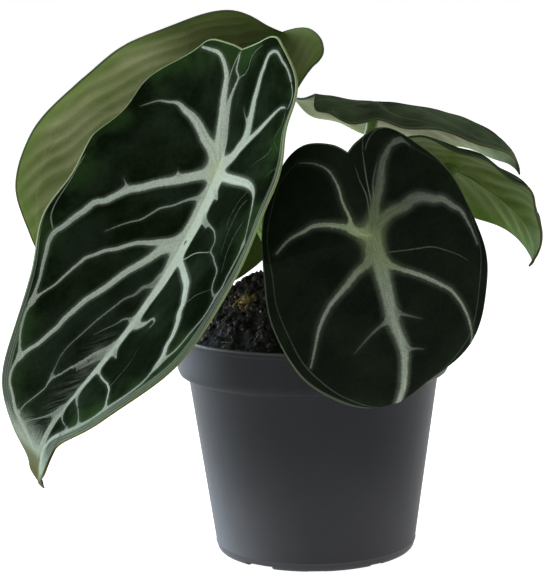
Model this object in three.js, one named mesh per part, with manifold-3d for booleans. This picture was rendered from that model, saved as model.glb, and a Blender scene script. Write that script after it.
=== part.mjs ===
// Potted foliage plant: five leathery leaves on arching stalks, a crown, a mound of potting mix and
// a tapered nursery pot. Millimetres, +Z up, origin on the ground under the middle of the pot,
// -Y towards the viewer.

import * as THREE from 'three';
import { mergeVertices } from 'three/addons/utils/BufferGeometryUtils.js';
import Module from 'manifold-3d';

const wasm = await Module();
wasm.setup();

// Pot
const potHeight = 98;
const rimRadius = 60;
const collarBottom = 78.5;
const neckRadius = 54.4;
const footRadius = 43.7;
const wall = 1.3;
const floorThickness = 3.4;
const channelCount = 8;
const channelWidth = 7;
const channelDepth = 1.7;
const channelStart = 15;
const firstChannelAngle = -94;
const drainRadius = 3.6;
const drainCircle = 33;
const potSegments = 64;

// Potting mix
const fit = 0.35;
const soilEdgeHeight = 93.5;
const soilPeakHeight = 124;
const moundPower = 2.4;
const crumbHeight = 1.5;
const soilRings = 9;
const soilSegments = 48;

// Crown, and the stalks that stand round it
const crownRadius = 5.2;
const crownBottom = 94;
const crownTop = 137;
const stalkCircle = 10.2;
const stalkFoot = 98;
const stalkBaseRadius = 4.2;
const stalkMidRadius = 3.0;
const stalkTopRadius = 2.3;
const stalkSides = 10;
const stalkSteps = 16;

// Blades
const bladeThickness = 1.1;
const bladeRings = 8;
const bladeSpokes = 26;
const waveHeight = 1.0;
const waveCount = 9;
const hubGap = 0.3;

// Half outlines of a blade, from the notch between the rear lobes to the drip tip. A station counts rear
// lengths (below 0) or tip lengths (above 0) from the hub, and the lists count half widths.
const stations = [-0.93, -1, -0.93, -0.66, -0.3, 0.1, 0.3, 0.5, 0.66, 0.79, 0.87, 0.92, 0.965];
const evenHalf = [0.13, 0.36, 0.57, 0.81, 0.93, 1, 1, 0.89, 0.72, 0.51, 0.31, 0.15, 0.05];
const broadHalf = [0.12, 0.36, 0.57, 0.78, 0.91, 0.99, 1.01, 0.92, 0.77, 0.54, 0.32, 0.16, 0.05];
const narrowHalf = [0.21, 0.46, 0.58, 0.76, 0.83, 0.97, 0.99, 1, 0.65, 0.25, 0.25, 0.14, 0.045];
const slenderHalf = [0.09, 0.31, 0.47, 0.81, 0.94, 1.05, 1.06, 0.88, 0.7, 0.54, 0.32, 0.13, 0.1];
const openHalf = [0.15, 0.39, 0.56, 0.73, 0.85, 1, 1.06, 1, 0.72, 0.46, 0.28, 0.15, 0.05];
const deepHalf = [0.07, 0.34, 0.51, 0.69, 0.77, 0.89, 1.08, 1.01, 0.8, 0.54, 0.32, 0.16, 0.055];

// Leaves, with angles in degrees. hub is where the stalk meets the blade. facing is the compass direction
// of the blade's slope from +X, slope is 90 for a blade that hangs upright, and swing turns the tip
// sideways in the blade's own plane. front and hook bend the tip half down, back bends the rear lobes
// down, and sweep curves the midrib sideways. Each half has its width, the droop and curl that fold it
// down, and for its rear lobe the extra length and droop. stalk says where the stalk stands round the
// crown, how far it rises before it turns, and how far it runs straight into the hub.
const leaves = {
  front_left: {
    hub: [-39, -42.5, 172.6], facing: -147, slope: 61.3, swing: -2.9,
    tip: 161, rear: 56, notch: 0.92, front: -36.2, hook: 94, back: -25.4, sweep: 44.8,
    left: { width: 58.6, outline: narrowHalf, droop: -15.4, curl: 18.3, lobe: 0.7, lobeDroop: 6.7, full: 0 },
    right: { width: 60.8, outline: slenderHalf, droop: -23.4, curl: -13.2, lobe: -0.4, lobeDroop: 17.2, full: 0 },
    stalk: { angle: 216, rise: 30, reach: 26 },
  },
  front_right: {
    hub: [23, -87, 151], facing: -77.3, slope: 77.8, swing: -11.7,
    tip: 94, rear: 42.7, notch: 0.81, front: 35.6, hook: 90.5, back: 15.7, sweep: -6.5,
    left: { width: 49.1, outline: evenHalf, droop: 11, curl: 8.5, lobe: 0.75, lobeDroop: 8.7, full: 0 },
    right: { width: 47.5, outline: broadHalf, droop: 11.8, curl: 14.6, lobe: 2.8, lobeDroop: 19.4, full: 0 },
    stalk: { angle: 288, rise: 48, reach: 34 },
  },
  back_left: {
    hub: [-55.7, 41, 185.3], facing: 123.4, slope: 61.5, swing: -24.2,
    tip: 106.2, rear: 70.9, notch: 0.93, front: 30.8, hook: 8.5, back: 39.3, sweep: 6.7,
    left: { width: 68.4, outline: openHalf, droop: -4.2, curl: 10.7, lobe: -2.2, lobeDroop: 6.2, full: 0 },
    right: { width: 59.8, outline: deepHalf, droop: 40.6, curl: 24.4, lobe: 27.6, lobeDroop: 47.5, full: 0 },
    stalk: { angle: 144, rise: 40, reach: 30 },
  },
  back_right: {
    hub: [28.5, 12.6, 194.6], facing: 3.5, slope: 4.5, swing: 2,
    tip: 77, rear: 31, notch: 0.85, front: 24, hook: 59, back: -10, sweep: 4,
    left: { width: 37.7, outline: evenHalf, droop: 31, curl: -10, lobe: 2.5, lobeDroop: -8, full: 0.07 },
    right: { width: 32, outline: evenHalf, droop: 8, curl: 5, lobe: -5, lobeDroop: 8, full: 0.11 },
    stalk: { angle: 72, rise: 40, reach: 34 },
  },
  right: {
    hub: [61.5, 11.7, 165.4], facing: 61.7, slope: 38, swing: 43.4,
    tip: 64.3, rear: 33.3, notch: 0.85, front: 37, hook: 82, back: 16.5, sweep: 26,
    left: { width: 34.5, outline: evenHalf, droop: -9.5, curl: 13, lobe: 0, lobeDroop: 0, full: -0.2 },
    right: { width: 44, outline: evenHalf, droop: -5, curl: 46, lobe: 0, lobeDroop: 1, full: 0.03 },
    stalk: { angle: 2, rise: 38, reach: 26 },
  },
};

const topSide = new THREE.MeshStandardMaterial({ color: 0x16261d, roughness: 0.55, metalness: 0 });
const stalkGreen = new THREE.MeshStandardMaterial({ color: 0x7d9451, roughness: 0.5, metalness: 0 });
const crownBrown = new THREE.MeshStandardMaterial({ color: 0x8a7a4c, roughness: 0.7, metalness: 0 });
const peat = new THREE.MeshStandardMaterial({ color: 0x1c1712, roughness: 1, metalness: 0 });
const potPlastic = new THREE.MeshStandardMaterial({ color: 0x4a5058, roughness: 0.55, metalness: 0 });

const radians = THREE.MathUtils.degToRad;

// Closed solids

function solidFrom(geometry) {
  const bare = geometry.clone();
  bare.deleteAttribute('normal');
  bare.deleteAttribute('uv');
  const merged = mergeVertices(bare, 1e-4);
  const corners = merged.getIndex().array;
  const kept = [];
  for (let i = 0; i < corners.length; i += 3) {
    const [a, b, c] = [corners[i], corners[i + 1], corners[i + 2]];
    if (a !== b && b !== c && c !== a) kept.push(a, b, c);
  }
  return new wasm.Manifold(new wasm.Mesh({
    numProp: 3,
    vertProperties: new Float32Array(merged.getAttribute('position').array),
    triVerts: new Uint32Array(kept),
  }));
}

function geometryFrom(solid) {
  const mesh = solid.getMesh();
  const geometry = new THREE.BufferGeometry();
  geometry.setAttribute('position', new THREE.BufferAttribute(new Float32Array(mesh.vertProperties), 3));
  geometry.setIndex(new THREE.BufferAttribute(new Uint32Array(mesh.triVerts), 1));
  geometry.computeVertexNormals();
  return geometry;
}

function meshOf(name, geometry, material) {
  const mesh = new THREE.Mesh(geometry, material);
  mesh.name = name;
  return mesh;
}

// A lathe round Z whose profile of [radius, height] pairs starts and ends on the axis
function latheAroundZ(profile, segments) {
  const points = profile.map(([radius, height]) => new THREE.Vector2(radius, height));
  return new THREE.LatheGeometry(points, segments).rotateX(Math.PI / 2);
}

// Stacked rings of points, each ring with as many points as the next, closed by a fan at both ends
function stackRings(rings, firstCentre, lastCentre) {
  const count = rings[0].length;
  const points = [firstCentre, ...rings.flat(), lastCentre];
  const index = [];
  const at = (ring, k) => 1 + ring * count + (k % count);
  const last = points.length - 1;
  for (let k = 0; k < count; k += 1) {
    index.push(0, at(0, k + 1), at(0, k));
    index.push(last, at(rings.length - 1, k), at(rings.length - 1, k + 1));
    for (let ring = 0; ring < rings.length - 1; ring += 1) {
      index.push(at(ring, k), at(ring, k + 1), at(ring + 1, k));
      index.push(at(ring, k + 1), at(ring + 1, k + 1), at(ring + 1, k));
    }
  }
  const geometry = new THREE.BufferGeometry().setFromPoints(points);
  geometry.setIndex(index);
  geometry.computeVertexNormals();
  return geometry;
}

// Pot

function innerProfile(gap) {
  const inset = wall + gap;
  return [
    [footRadius - inset - 1.2, floorThickness + gap],
    [footRadius - inset + 0.1, floorThickness + gap + 1.4],
    [neckRadius - inset, collarBottom + gap],
    [neckRadius - inset + 0.2, collarBottom + wall + gap],
    [rimRadius - inset - 1.9, collarBottom + wall + gap + 1.6],
    [rimRadius - inset - 1.0, collarBottom + wall + gap + 4.4],
  ];
}

function potGeometry() {
  const outer = [
    [0, 0],
    [footRadius - 3.2, 0],
    [footRadius - 1.5, 0.5],
    [footRadius - 0.5, 1.9],
    [footRadius, 4.2],
    [neckRadius, collarBottom],
    [rimRadius - 2.6, collarBottom + 0.7],
    [rimRadius - 1.2, collarBottom + 2.6],
    [rimRadius - 0.7, collarBottom + 5.6],
    [rimRadius - 0.3, potHeight - 2.6],
    [rimRadius, potHeight - 2.2],
    [rimRadius, potHeight - 0.4],
    [rimRadius - 0.4, potHeight],
    [rimRadius - wall, potHeight],
    [rimRadius - wall - 0.3, potHeight - 0.5],
  ];
  const profile = [...outer, ...innerProfile(0).reverse(), [0, floorThickness]];
  let pot = solidFrom(latheAroundZ(profile, potSegments));
  const channelLength = footRadius + 5 - channelStart;
  for (let i = 0; i < channelCount; i += 1) {
    const angle = radians(firstChannelAngle + i * 360 / channelCount);
    const channel = new THREE.BoxGeometry(channelLength, channelWidth, 2 * channelDepth)
      .translate(channelStart + channelLength / 2, 0, 0)
      .rotateZ(angle);
    const drain = new THREE.CylinderGeometry(drainRadius, drainRadius, 4 * floorThickness, 12)
      .rotateX(Math.PI / 2)
      .translate(drainCircle, 0, 0)
      .rotateZ(angle);
    pot = pot.subtract(solidFrom(channel)).subtract(solidFrom(drain));
  }
  return geometryFrom(pot);
}

// Potting mix: a steep mound with a crumbly top

function moundHeight(share) {
  return soilPeakHeight - (soilPeakHeight - soilEdgeHeight) * share ** moundPower;
}

function crumbs(x, y) {
  return Math.sin(x * 0.61 + 1.3) * Math.cos(y * 0.53 - 0.4) + 0.6 * Math.sin(x * 0.29 - y * 0.83 + 2.1)
    + 0.5 * Math.cos(x * 1.07 + y * 0.37);
}

function soilGeometry() {
  const ring = (radius, heightAt) => {
    const points = [];
    for (let k = 0; k < soilSegments; k += 1) {
      const angle = (k / soilSegments) * 2 * Math.PI;
      const x = radius * Math.cos(angle);
      const y = radius * Math.sin(angle);
      points.push(new THREE.Vector3(x, y, heightAt(x, y)));
    }
    return points;
  };
  const rings = innerProfile(fit).map(([radius, height]) => ring(radius, () => height));
  const edge = rimRadius - wall - fit - 0.7;
  for (let i = 0; i < soilRings; i += 1) {
    const share = 1 - i / soilRings;
    const bump = (i === 0 ? 0.3 : 1) * crumbHeight;
    rings.push(ring(edge * share, (x, y) => moundHeight(share) + bump * crumbs(x, y)));
  }
  const bottom = new THREE.Vector3(0, 0, floorThickness + fit);
  return stackRings(rings, bottom, new THREE.Vector3(0, 0, soilPeakHeight));
}

// Crown: the pointed sheath in the middle of the stalks

function crownGeometry() {
  const profile = [
    [0, crownBottom],
    [crownRadius - 0.6, crownBottom],
    [crownRadius, crownBottom + 8],
    [crownRadius, soilPeakHeight],
    [crownRadius * 0.72, crownTop - 9],
    [crownRadius * 0.35, crownTop - 3],
    [0, crownTop],
  ];
  return latheAroundZ(profile, 16);
}

// Blades

function halfOutline(leaf, half) {
  const lobeLength = leaf.rear + half.lobe;
  const notch = leaf.notch * leaf.rear;
  const points = [new THREE.Vector2(-notch, 0)];
  stations.forEach((station, i) => {
    const ahead = Math.max(station, 0);
    const fullness = 1 + half.full * 8 * ahead * ahead * (1 - ahead);
    const along = station < 0 ? station * lobeLength : station * leaf.tip;
    const start = i === 0 ? -(notch + lobeLength) / 2 : along;
    points.push(new THREE.Vector2(start, half.outline[i] * half.width * fullness));
  });
  points.push(new THREE.Vector2(leaf.tip, 0));
  return new THREE.SplineCurve(points).getSpacedPoints(bladeSpokes);
}

// Closed outline as [along, across] pairs, notch, right side, tip, left side
function flatOutline(leaf) {
  const right = halfOutline(leaf, leaf.right).map((p) => [p.x, p.y]);
  const left = halfOutline(leaf, leaf.left).map((p) => [p.x, -p.y]);
  return [...right, ...left.reverse().slice(1, -1)];
}

function midribHeading(leaf, along) {
  if (along < 0) return radians(leaf.back) * (-along / leaf.rear);
  const share = along / leaf.tip;
  return -radians(leaf.front) * share - radians(leaf.hook) * share ** 4;
}

function midribSweep(leaf, along) {
  return radians(leaf.sweep) * Math.max(along / leaf.tip, 0) ** 2;
}

function midribDirection(leaf, along) {
  const heading = midribHeading(leaf, along);
  const sweep = midribSweep(leaf, along);
  return new THREE.Vector3(
    Math.sin(sweep) * Math.cos(heading),
    Math.cos(sweep) * Math.cos(heading),
    Math.sin(heading),
  );
}

// A point of the flat blade lifted to its bent and folded place: x right, y to the tip, z out of the top
function bladePoint(leaf, along, across, wave) {
  const point = new THREE.Vector3();
  const steps = 24;
  for (let i = 0; i < steps; i += 1) {
    point.addScaledVector(midribDirection(leaf, (along * (i + 0.5)) / steps), along / steps);
  }
  const sweep = midribSweep(leaf, along);
  const side = new THREE.Vector3(Math.cos(sweep), -Math.sin(sweep), 0);
  const out = side.clone().cross(midribDirection(leaf, along));
  const half = across > 0 ? leaf.right : leaf.left;
  const behind = THREE.MathUtils.clamp(-along / leaf.rear, 0, 1.35);
  const droop = radians(half.droop + behind * half.lobeDroop);
  const curl = radians(half.curl) / half.width;
  const reach = Math.abs(across);
  const sideways = (Math.sin(droop + curl * reach) - Math.sin(droop)) / curl;
  const outwards = (Math.cos(droop + curl * reach) - Math.cos(droop)) / curl;
  return point.addScaledVector(side, Math.sign(across) * sideways).addScaledVector(out, outwards + wave);
}

// Both faces of a blade are the same grid of rings round the hub, so that they are split alike
function bladeGeometry(leaf, above, below) {
  const outline = flatOutline(leaf);
  const count = outline.length;
  const faces = [];
  const points = [bladePoint(leaf, 0, 0, 0)];
  for (let ring = 1; ring <= bladeRings; ring += 1) {
    const share = ring / bladeRings;
    for (let k = 0; k < count; k += 1) {
      const [along, across] = outline[k];
      const wave = waveHeight * share ** 2 * Math.sin(waveCount * Math.atan2(across, along));
      points.push(bladePoint(leaf, along * share, across * share, wave));
      const inner = 1 + (ring - 2) * count;
      const outer = 1 + (ring - 1) * count;
      const next = (k + 1) % count;
      if (ring === 1) {
        faces.push([0, outer + k, outer + next]);
      } else {
        faces.push([inner + k, outer + k, inner + next], [outer + k, outer + next, inner + next]);
      }
    }
  }
  const sheet = new THREE.BufferGeometry().setFromPoints(points);
  sheet.setIndex(faces.flat());
  sheet.computeVertexNormals();
  const normals = sheet.getAttribute('normal');
  const offset = (distance) => points.map((point, i) => (
    point.clone().addScaledVector(new THREE.Vector3().fromBufferAttribute(normals, i), distance)
  ));
  const total = points.length;
  const index = faces.flat();
  faces.forEach(([a, b, c]) => index.push(total + a, total + c, total + b));
  const rim = 1 + (bladeRings - 1) * count;
  for (let k = 0; k < count; k += 1) {
    const here = rim + k;
    const next = rim + ((k + 1) % count);
    index.push(here, total + here, next, next, total + here, total + next);
  }
  const blade = new THREE.BufferGeometry().setFromPoints([...offset(above), ...offset(-below)]);
  blade.setIndex(index);
  blade.computeVertexNormals();
  return blade;
}

function bladeTurn(leaf) {
  const axisY = new THREE.Vector3(0, 1, 0);
  const axisZ = new THREE.Vector3(0, 0, 1);
  const turn = new THREE.Quaternion().setFromAxisAngle(axisZ, radians(leaf.facing));
  turn.multiply(new THREE.Quaternion().setFromAxisAngle(axisY, radians(leaf.slope)));
  return turn.multiply(new THREE.Quaternion().setFromAxisAngle(axisZ, radians(-90 - leaf.swing)));
}

// Stalks

function stalkCurve(leaf) {
  const { angle, rise, reach } = leaf.stalk;
  const foot = new THREE.Vector3(stalkCircle, 0, stalkFoot).applyAxisAngle(
    new THREE.Vector3(0, 0, 1),
    radians(angle),
  );
  const hub = new THREE.Vector3(...leaf.hub);
  const normal = new THREE.Vector3(0, 0, 1).applyQuaternion(bladeTurn(leaf));
  const end = hub.clone().addScaledVector(normal, -bladeThickness * 0.6);
  const shoulder = foot.clone().add(new THREE.Vector3(foot.x * 0.35, foot.y * 0.35, rise));
  return new THREE.CubicBezierCurve3(foot, shoulder, end.clone().addScaledVector(normal, -reach), end);
}

function stalkRadius(share) {
  if (share < 0.35) return THREE.MathUtils.lerp(stalkBaseRadius, stalkMidRadius, share / 0.35);
  return THREE.MathUtils.lerp(stalkMidRadius, stalkTopRadius, (share - 0.35) / 0.65);
}

function stalkGeometry(leaf, extra) {
  const curve = stalkCurve(leaf);
  const frames = curve.computeFrenetFrames(stalkSteps, false);
  const rings = [];
  for (let i = 0; i <= stalkSteps; i += 1) {
    const share = i / stalkSteps;
    const centre = curve.getPointAt(share);
    const radius = stalkRadius(share) + extra;
    const ring = [];
    for (let k = 0; k < stalkSides; k += 1) {
      const angle = (k / stalkSides) * 2 * Math.PI;
      ring.push(centre.clone()
        .addScaledVector(frames.normals[i], radius * Math.cos(angle))
        .addScaledVector(frames.binormals[i], radius * Math.sin(angle)));
    }
    rings.push(ring);
  }
  const first = curve.getPointAt(0).addScaledVector(frames.tangents[0], -extra);
  if (extra > 0) rings[0].forEach((point) => point.addScaledVector(frames.tangents[0], -extra));
  return stackRings(rings, first, curve.getPointAt(1));
}

// Assembly

const plant = new THREE.Group();
plant.add(meshOf('pot', potGeometry(), potPlastic));

let soil = solidFrom(soilGeometry());
const crown = crownGeometry();
const crownHole = new THREE.CylinderGeometry(crownRadius + fit, crownRadius + fit, 40, 16)
  .rotateX(Math.PI / 2)
  .translate(0, 0, crownBottom - fit + 20);
soil = soil.subtract(solidFrom(crownHole));

for (const [place, leaf] of Object.entries(leaves)) {
  const blade = meshOf(`leaf_${place}`, bladeGeometry(leaf, 0, bladeThickness), topSide);
  blade.position.set(...leaf.hub);
  blade.quaternion.copy(bladeTurn(leaf));
  blade.updateMatrixWorld();
  plant.add(blade);

  const clearance = bladeGeometry(leaf, hubGap, bladeThickness + hubGap).applyMatrix4(blade.matrixWorld);
  const cut = solidFrom(stalkGeometry(leaf, 0)).subtract(solidFrom(clearance));
  const [stalk] = cut.decompose().sort((a, b) => b.volume() - a.volume());
  plant.add(meshOf(`petiole_${place}`, geometryFrom(stalk), stalkGreen));
  soil = soil.subtract(solidFrom(stalkGeometry(leaf, fit)));
}

plant.add(meshOf('crown', crown, crownBrown));
plant.add(meshOf('soil', geometryFrom(soil), peat));

export default plant;
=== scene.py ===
import math
import random
import bpy
import numpy as np
from mathutils import Matrix, Vector, noise


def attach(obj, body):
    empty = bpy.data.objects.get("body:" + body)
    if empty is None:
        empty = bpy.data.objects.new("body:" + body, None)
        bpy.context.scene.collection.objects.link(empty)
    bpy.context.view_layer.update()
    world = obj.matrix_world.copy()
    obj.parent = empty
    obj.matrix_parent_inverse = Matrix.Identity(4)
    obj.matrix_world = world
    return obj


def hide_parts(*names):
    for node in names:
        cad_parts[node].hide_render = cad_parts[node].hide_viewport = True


# A potted foliage plant, dressed round its solids. Values are in millimetres and degrees until a mesh
# is made, and Blender's own lengths are metres.
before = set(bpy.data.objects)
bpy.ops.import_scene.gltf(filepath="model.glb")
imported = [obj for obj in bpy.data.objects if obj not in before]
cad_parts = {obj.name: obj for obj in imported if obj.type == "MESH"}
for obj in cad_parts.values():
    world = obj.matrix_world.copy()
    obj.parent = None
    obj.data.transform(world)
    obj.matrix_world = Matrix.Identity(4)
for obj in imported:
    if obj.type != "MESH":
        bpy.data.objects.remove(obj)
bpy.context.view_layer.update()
millimetre = 0.001
print("frame loaded:", len(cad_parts), "solids")


# Node trees


class Wire:
    # one output socket, on which ordinary arithmetic adds Math nodes
    def __init__(self, graph, socket):
        self.graph, self.socket = graph, socket

    def maths(self, operation, *values):
        return self.graph.add("ShaderNodeMath", dict(enumerate(values)), operation=operation)

    def __add__(self, other):
        return self.maths("ADD", self, other)

    def __radd__(self, other):
        return self.maths("ADD", other, self)

    def __sub__(self, other):
        return self.maths("SUBTRACT", self, other)

    def __rsub__(self, other):
        return self.maths("SUBTRACT", other, self)

    def __mul__(self, other):
        return self.maths("MULTIPLY", self, other)

    def __rmul__(self, other):
        return self.maths("MULTIPLY", other, self)

    def __truediv__(self, other):
        return self.maths("DIVIDE", self, other)

    def __abs__(self):
        return self.maths("ABSOLUTE", self)

    def atLeast(self, other):
        return self.maths("MAXIMUM", self, other)

    def atMost(self, other):
        return self.maths("MINIMUM", self, other)

    def power(self, other):
        return self.maths("POWER", self, other)

    def ease(self, start, end, low=0.0, high=1.0):
        # from low to high as the value goes from start to end, smoothly and no further
        limits = {"Value": self, "From Min": start, "From Max": end, "To Min": low, "To Max": high}
        return self.graph.add("ShaderNodeMapRange", limits, interpolation_type="SMOOTHSTEP")

    def sibling(self, output):
        return Wire(self.graph, self.socket.node.outputs[output])


class Graph:
    # a node tree that is being filled
    def __init__(self, tree):
        self.tree = tree

    def add(self, kind, inputs=None, output=0, **settings):
        node = self.tree.nodes.new(kind)
        for key, value in settings.items():
            setattr(node, key, value)
        for key, value in (inputs or {}).items():
            if isinstance(value, Wire):
                self.tree.links.new(value.socket, node.inputs[key])
            elif value is not None:
                node.inputs[key].default_value = value
        return Wire(self, node.outputs[output])

    def vector(self, x=0.0, y=0.0, z=0.0):
        return self.add("ShaderNodeCombineXYZ", {"X": x, "Y": y, "Z": z})

    def split(self, vector):
        # the first two numbers of a vector
        parts = self.add("ShaderNodeSeparateXYZ", {"Vector": vector})
        return parts, parts.sibling("Y")


class Finish(Graph):
    # a material whose graph ends in one Principled shader
    def __init__(self, name, roughness, specular, more=None):
        self.material = bpy.data.materials.new(name)
        self.material.use_nodes = True
        super().__init__(self.material.node_tree)
        self.shader = self.tree.nodes["Principled BSDF"]
        fixed = {"Roughness": roughness, "Specular IOR Level": specular, **(more or {})}
        for socket, value in fixed.items():
            self.shader.inputs[socket].default_value = value

    def attributes(self, *names):
        return [self.add("ShaderNodeAttribute", output="Fac", attribute_name=name) for name in names]

    def place(self):
        return self.add("ShaderNodeTexCoord", output="Object")

    def stretched(self, share):
        # the place, drawn out along the upright axis
        return self.add("ShaderNodeMapping", {"Vector": self.place(), "Scale": (1, 1, share)})

    def mix(self, factor, first, second):
        first, second = ((*tone, 1) if isinstance(tone, tuple) else tone for tone in (first, second))
        return self.add("ShaderNodeMix", {0: factor, 6: first, 7: second}, 2, data_type="RGBA")

    def noise(self, scale, detail=3, roughness=0.5, vector=None):
        inputs = {"Vector": vector or self.place(), "Scale": scale, "Detail": detail,
                  "Roughness": roughness}
        return self.add("ShaderNodeTexNoise", inputs, "Fac")

    def cellEdges(self, vector, width):
        # 1 on the edges of small cells
        inputs = {"Vector": vector, "Scale": 300}
        return self.add("ShaderNodeTexVoronoi", inputs, feature="DISTANCE_TO_EDGE").ease(0.0, width, 1, 0)

    def end(self, colour, roughness, height, depth, strength):
        bump = self.add("ShaderNodeBump", {"Height": height, "Distance": depth, "Strength": strength})
        for socket, wire in (("Base Color", colour), ("Roughness", roughness), ("Normal", bump)):
            self.tree.links.new(wire.socket, self.shader.inputs[socket])
        return self.material


class GeometryTree(Graph):
    # a Geometry Nodes tree with named inputs for its sizes
    def __init__(self, name, inputs):
        super().__init__(bpy.data.node_groups.new(name, "GeometryNodeTree"))
        interface = self.tree.interface
        interface.new_socket("Geometry", in_out="INPUT", socket_type="NodeSocketGeometry")
        interface.new_socket("Geometry", in_out="OUTPUT", socket_type="NodeSocketGeometry")
        self.identifiers = {}
        for label, kind in inputs.items():
            socket = interface.new_socket(label, in_out="INPUT", socket_type="NodeSocket" + kind)
            self.identifiers[label] = socket.identifier
        self.inputNode = self.tree.nodes.new("NodeGroupInput")
        self.outputNode = self.tree.nodes.new("NodeGroupOutput")

    def given(self, label):
        return Wire(self, self.inputNode.outputs[label])

    def place(self):
        return self.add("GeometryNodeInputPosition")

    def named(self, name):
        return self.add("GeometryNodeInputNamedAttribute", {"Name": name}, data_type="FLOAT")

    def store(self, geometry, name, value, domain="POINT"):
        inputs = {"Geometry": geometry, "Name": name, "Value": value}
        return self.add("GeometryNodeStoreNamedAttribute", inputs, data_type="FLOAT", domain=domain)

    def placed(self, geometry, place):
        return self.add("GeometryNodeSetPosition", {"Geometry": geometry, "Position": place})

    def curve(self, edges):
        return self.add("GeometryNodeMeshToCurve", {"Mesh": edges})

    def circle(self, count, radius=1.0):
        return self.add("GeometryNodeCurvePrimitiveCircle", {"Resolution": count, "Radius": radius})

    def facing(self, curve, normal):
        return self.add("GeometryNodeSetCurveNormal", {"Curve": curve, "Normal": normal}, mode="FREE")

    def swept(self, curve, profile, scale=None):
        # only a tube with a scale of its own is closed at its ends
        return self.add("GeometryNodeCurveToMesh", {
            "Curve": curve, "Profile Curve": profile, "Scale": scale, "Fill Caps": scale is not None})

    def join(self, *parts):
        node = self.tree.nodes.new("GeometryNodeJoinGeometry")
        for part in parts:
            self.tree.links.new(part.socket, node.inputs[0])
        return Wire(self, node.outputs[0])

    def shape(self, label):
        return self.add("GeometryNodeObjectInfo", {"Object": self.given(label)}, "Geometry")

    def painted(self, geometry, label="Finish"):
        return self.add("GeometryNodeSetMaterial", {"Geometry": geometry, "Material": self.given(label)})

    def realized(self, geometry):
        return self.add("GeometryNodeRealizeInstances", {"Geometry": geometry})

    def end(self, geometry):
        self.tree.links.new(self.realized(geometry).socket, self.outputNode.inputs[0])
        return self


def grow(piece, tree, values):
    # runs the tree on the piece and keeps the result as the piece's plain mesh
    modifier = piece.modifiers.new(tree.tree.name, "NODES")
    modifier.node_group = tree.tree
    for label, value in values.items():
        modifier[tree.identifiers[label]] = value
    bpy.context.view_layer.update()
    depsgraph = bpy.context.evaluated_depsgraph_get()
    grown = bpy.data.meshes.new_from_object(piece.evaluated_get(depsgraph), preserve_all_data_layers=True,
                                            depsgraph=depsgraph)
    piece.modifiers.remove(modifier)
    piece.data = grown
    grown.name = piece.name


# Meshes


def makeMesh(name, points, faces=(), edges=(), values=None):
    # points in millimetres; values are numbers that go with each point
    mesh = bpy.data.meshes.new(name)
    mesh.from_pydata((np.asarray(points) * millimetre).tolist(), list(edges), list(faces))
    for label, numbers in (values or {}).items():
        layer = mesh.attributes.new(label, "FLOAT", "POINT")
        layer.data.foreach_set("value", np.ascontiguousarray(numbers, dtype=np.float32))
    if len(mesh.polygons):
        mesh.shade_smooth()
    mesh.update()
    return mesh


def makePiece(name, mesh, materials=()):
    piece = bpy.data.objects.new(name, mesh)
    bpy.context.scene.collection.objects.link(piece)
    for material in materials:
        mesh.materials.append(material)
    return piece


def lineMesh(name, points, values=None):
    return makeMesh(name, points, edges=[(i, i + 1) for i in range(len(points) - 1)], values=values)


def carry(piece, slotName, *nodes):
    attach(piece, "root")
    if nodes:
        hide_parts(*nodes)
    print(piece.name, sum(len(face.vertices) - 2 for face in piece.data.polygons), "triangles")


def discard(*pieces):
    for piece in pieces:
        bpy.data.objects.remove(piece)


def smoothPath(points, steps):
    # uniform Catmull-Rom through the points, the spline of the solids' outlines
    p = np.asarray(points, float)
    last = len(p) - 1
    i = np.arange(last)
    p0, p1, p2, p3 = p[np.maximum(i - 1, 0)], p[i], p[i + 1], p[np.minimum(i + 2, last)]
    v0, v1 = (p2 - p0) / 2, (p3 - p1) / 2
    cubic, square = 2 * p1 - 2 * p2 + v0 + v1, -3 * p1 + 3 * p2 - 2 * v0 - v1
    t = (np.arange(steps) / steps)[None, :, None]
    curve = ((cubic[:, None] * t + square[:, None]) * t + v0[:, None]) * t + p1[:, None]
    return np.vstack([curve.reshape(-1, p.shape[1]), p[-1:]])


def alongPath(path):
    # the distance walked at each point of a path
    return np.concatenate([[0], np.cumsum(np.linalg.norm(np.diff(path, axis=0), axis=1))])


def evenPath(path, count):
    # the same path with count equal steps
    walked = alongPath(path)
    places = np.linspace(0, walked[-1], count + 1)
    return np.stack([np.interp(places, walked, column) for column in path.T], axis=1)


def distanceToPath(points, path):
    # nearest distance from flat points to a path, how far along the path that is, and its side as a sign
    start, step = path[:-1], np.diff(path, axis=0)
    lengths = np.maximum((step ** 2).sum(axis=1), 1e-9)
    walked = alongPath(path)
    best = np.full(len(points), 1e9)
    place = np.zeros(len(points))
    side = np.ones(len(points))
    for i in range(len(start)):
        away = points - start[i]
        share = np.clip((away @ step[i]) / lengths[i], 0, 1)
        gap = np.hypot(*(away - share[:, None] * step[i]).T)
        closer = gap < best
        best[closer] = gap[closer]
        place[closer] = walked[i] + share[closer] * math.sqrt(lengths[i])
        side[closer] = np.sign(step[i][0] * away[closer, 1] - step[i][1] * away[closer, 0])
    return best, place, side


def ringFaces(first, second, count):
    # quads between two rings of points, given as the numbers of their first points
    steps = [(i, (i + 1) % count) for i in range(count)]
    return [(first + i, second + i, second + j, first + j) for i, j in steps]


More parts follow.
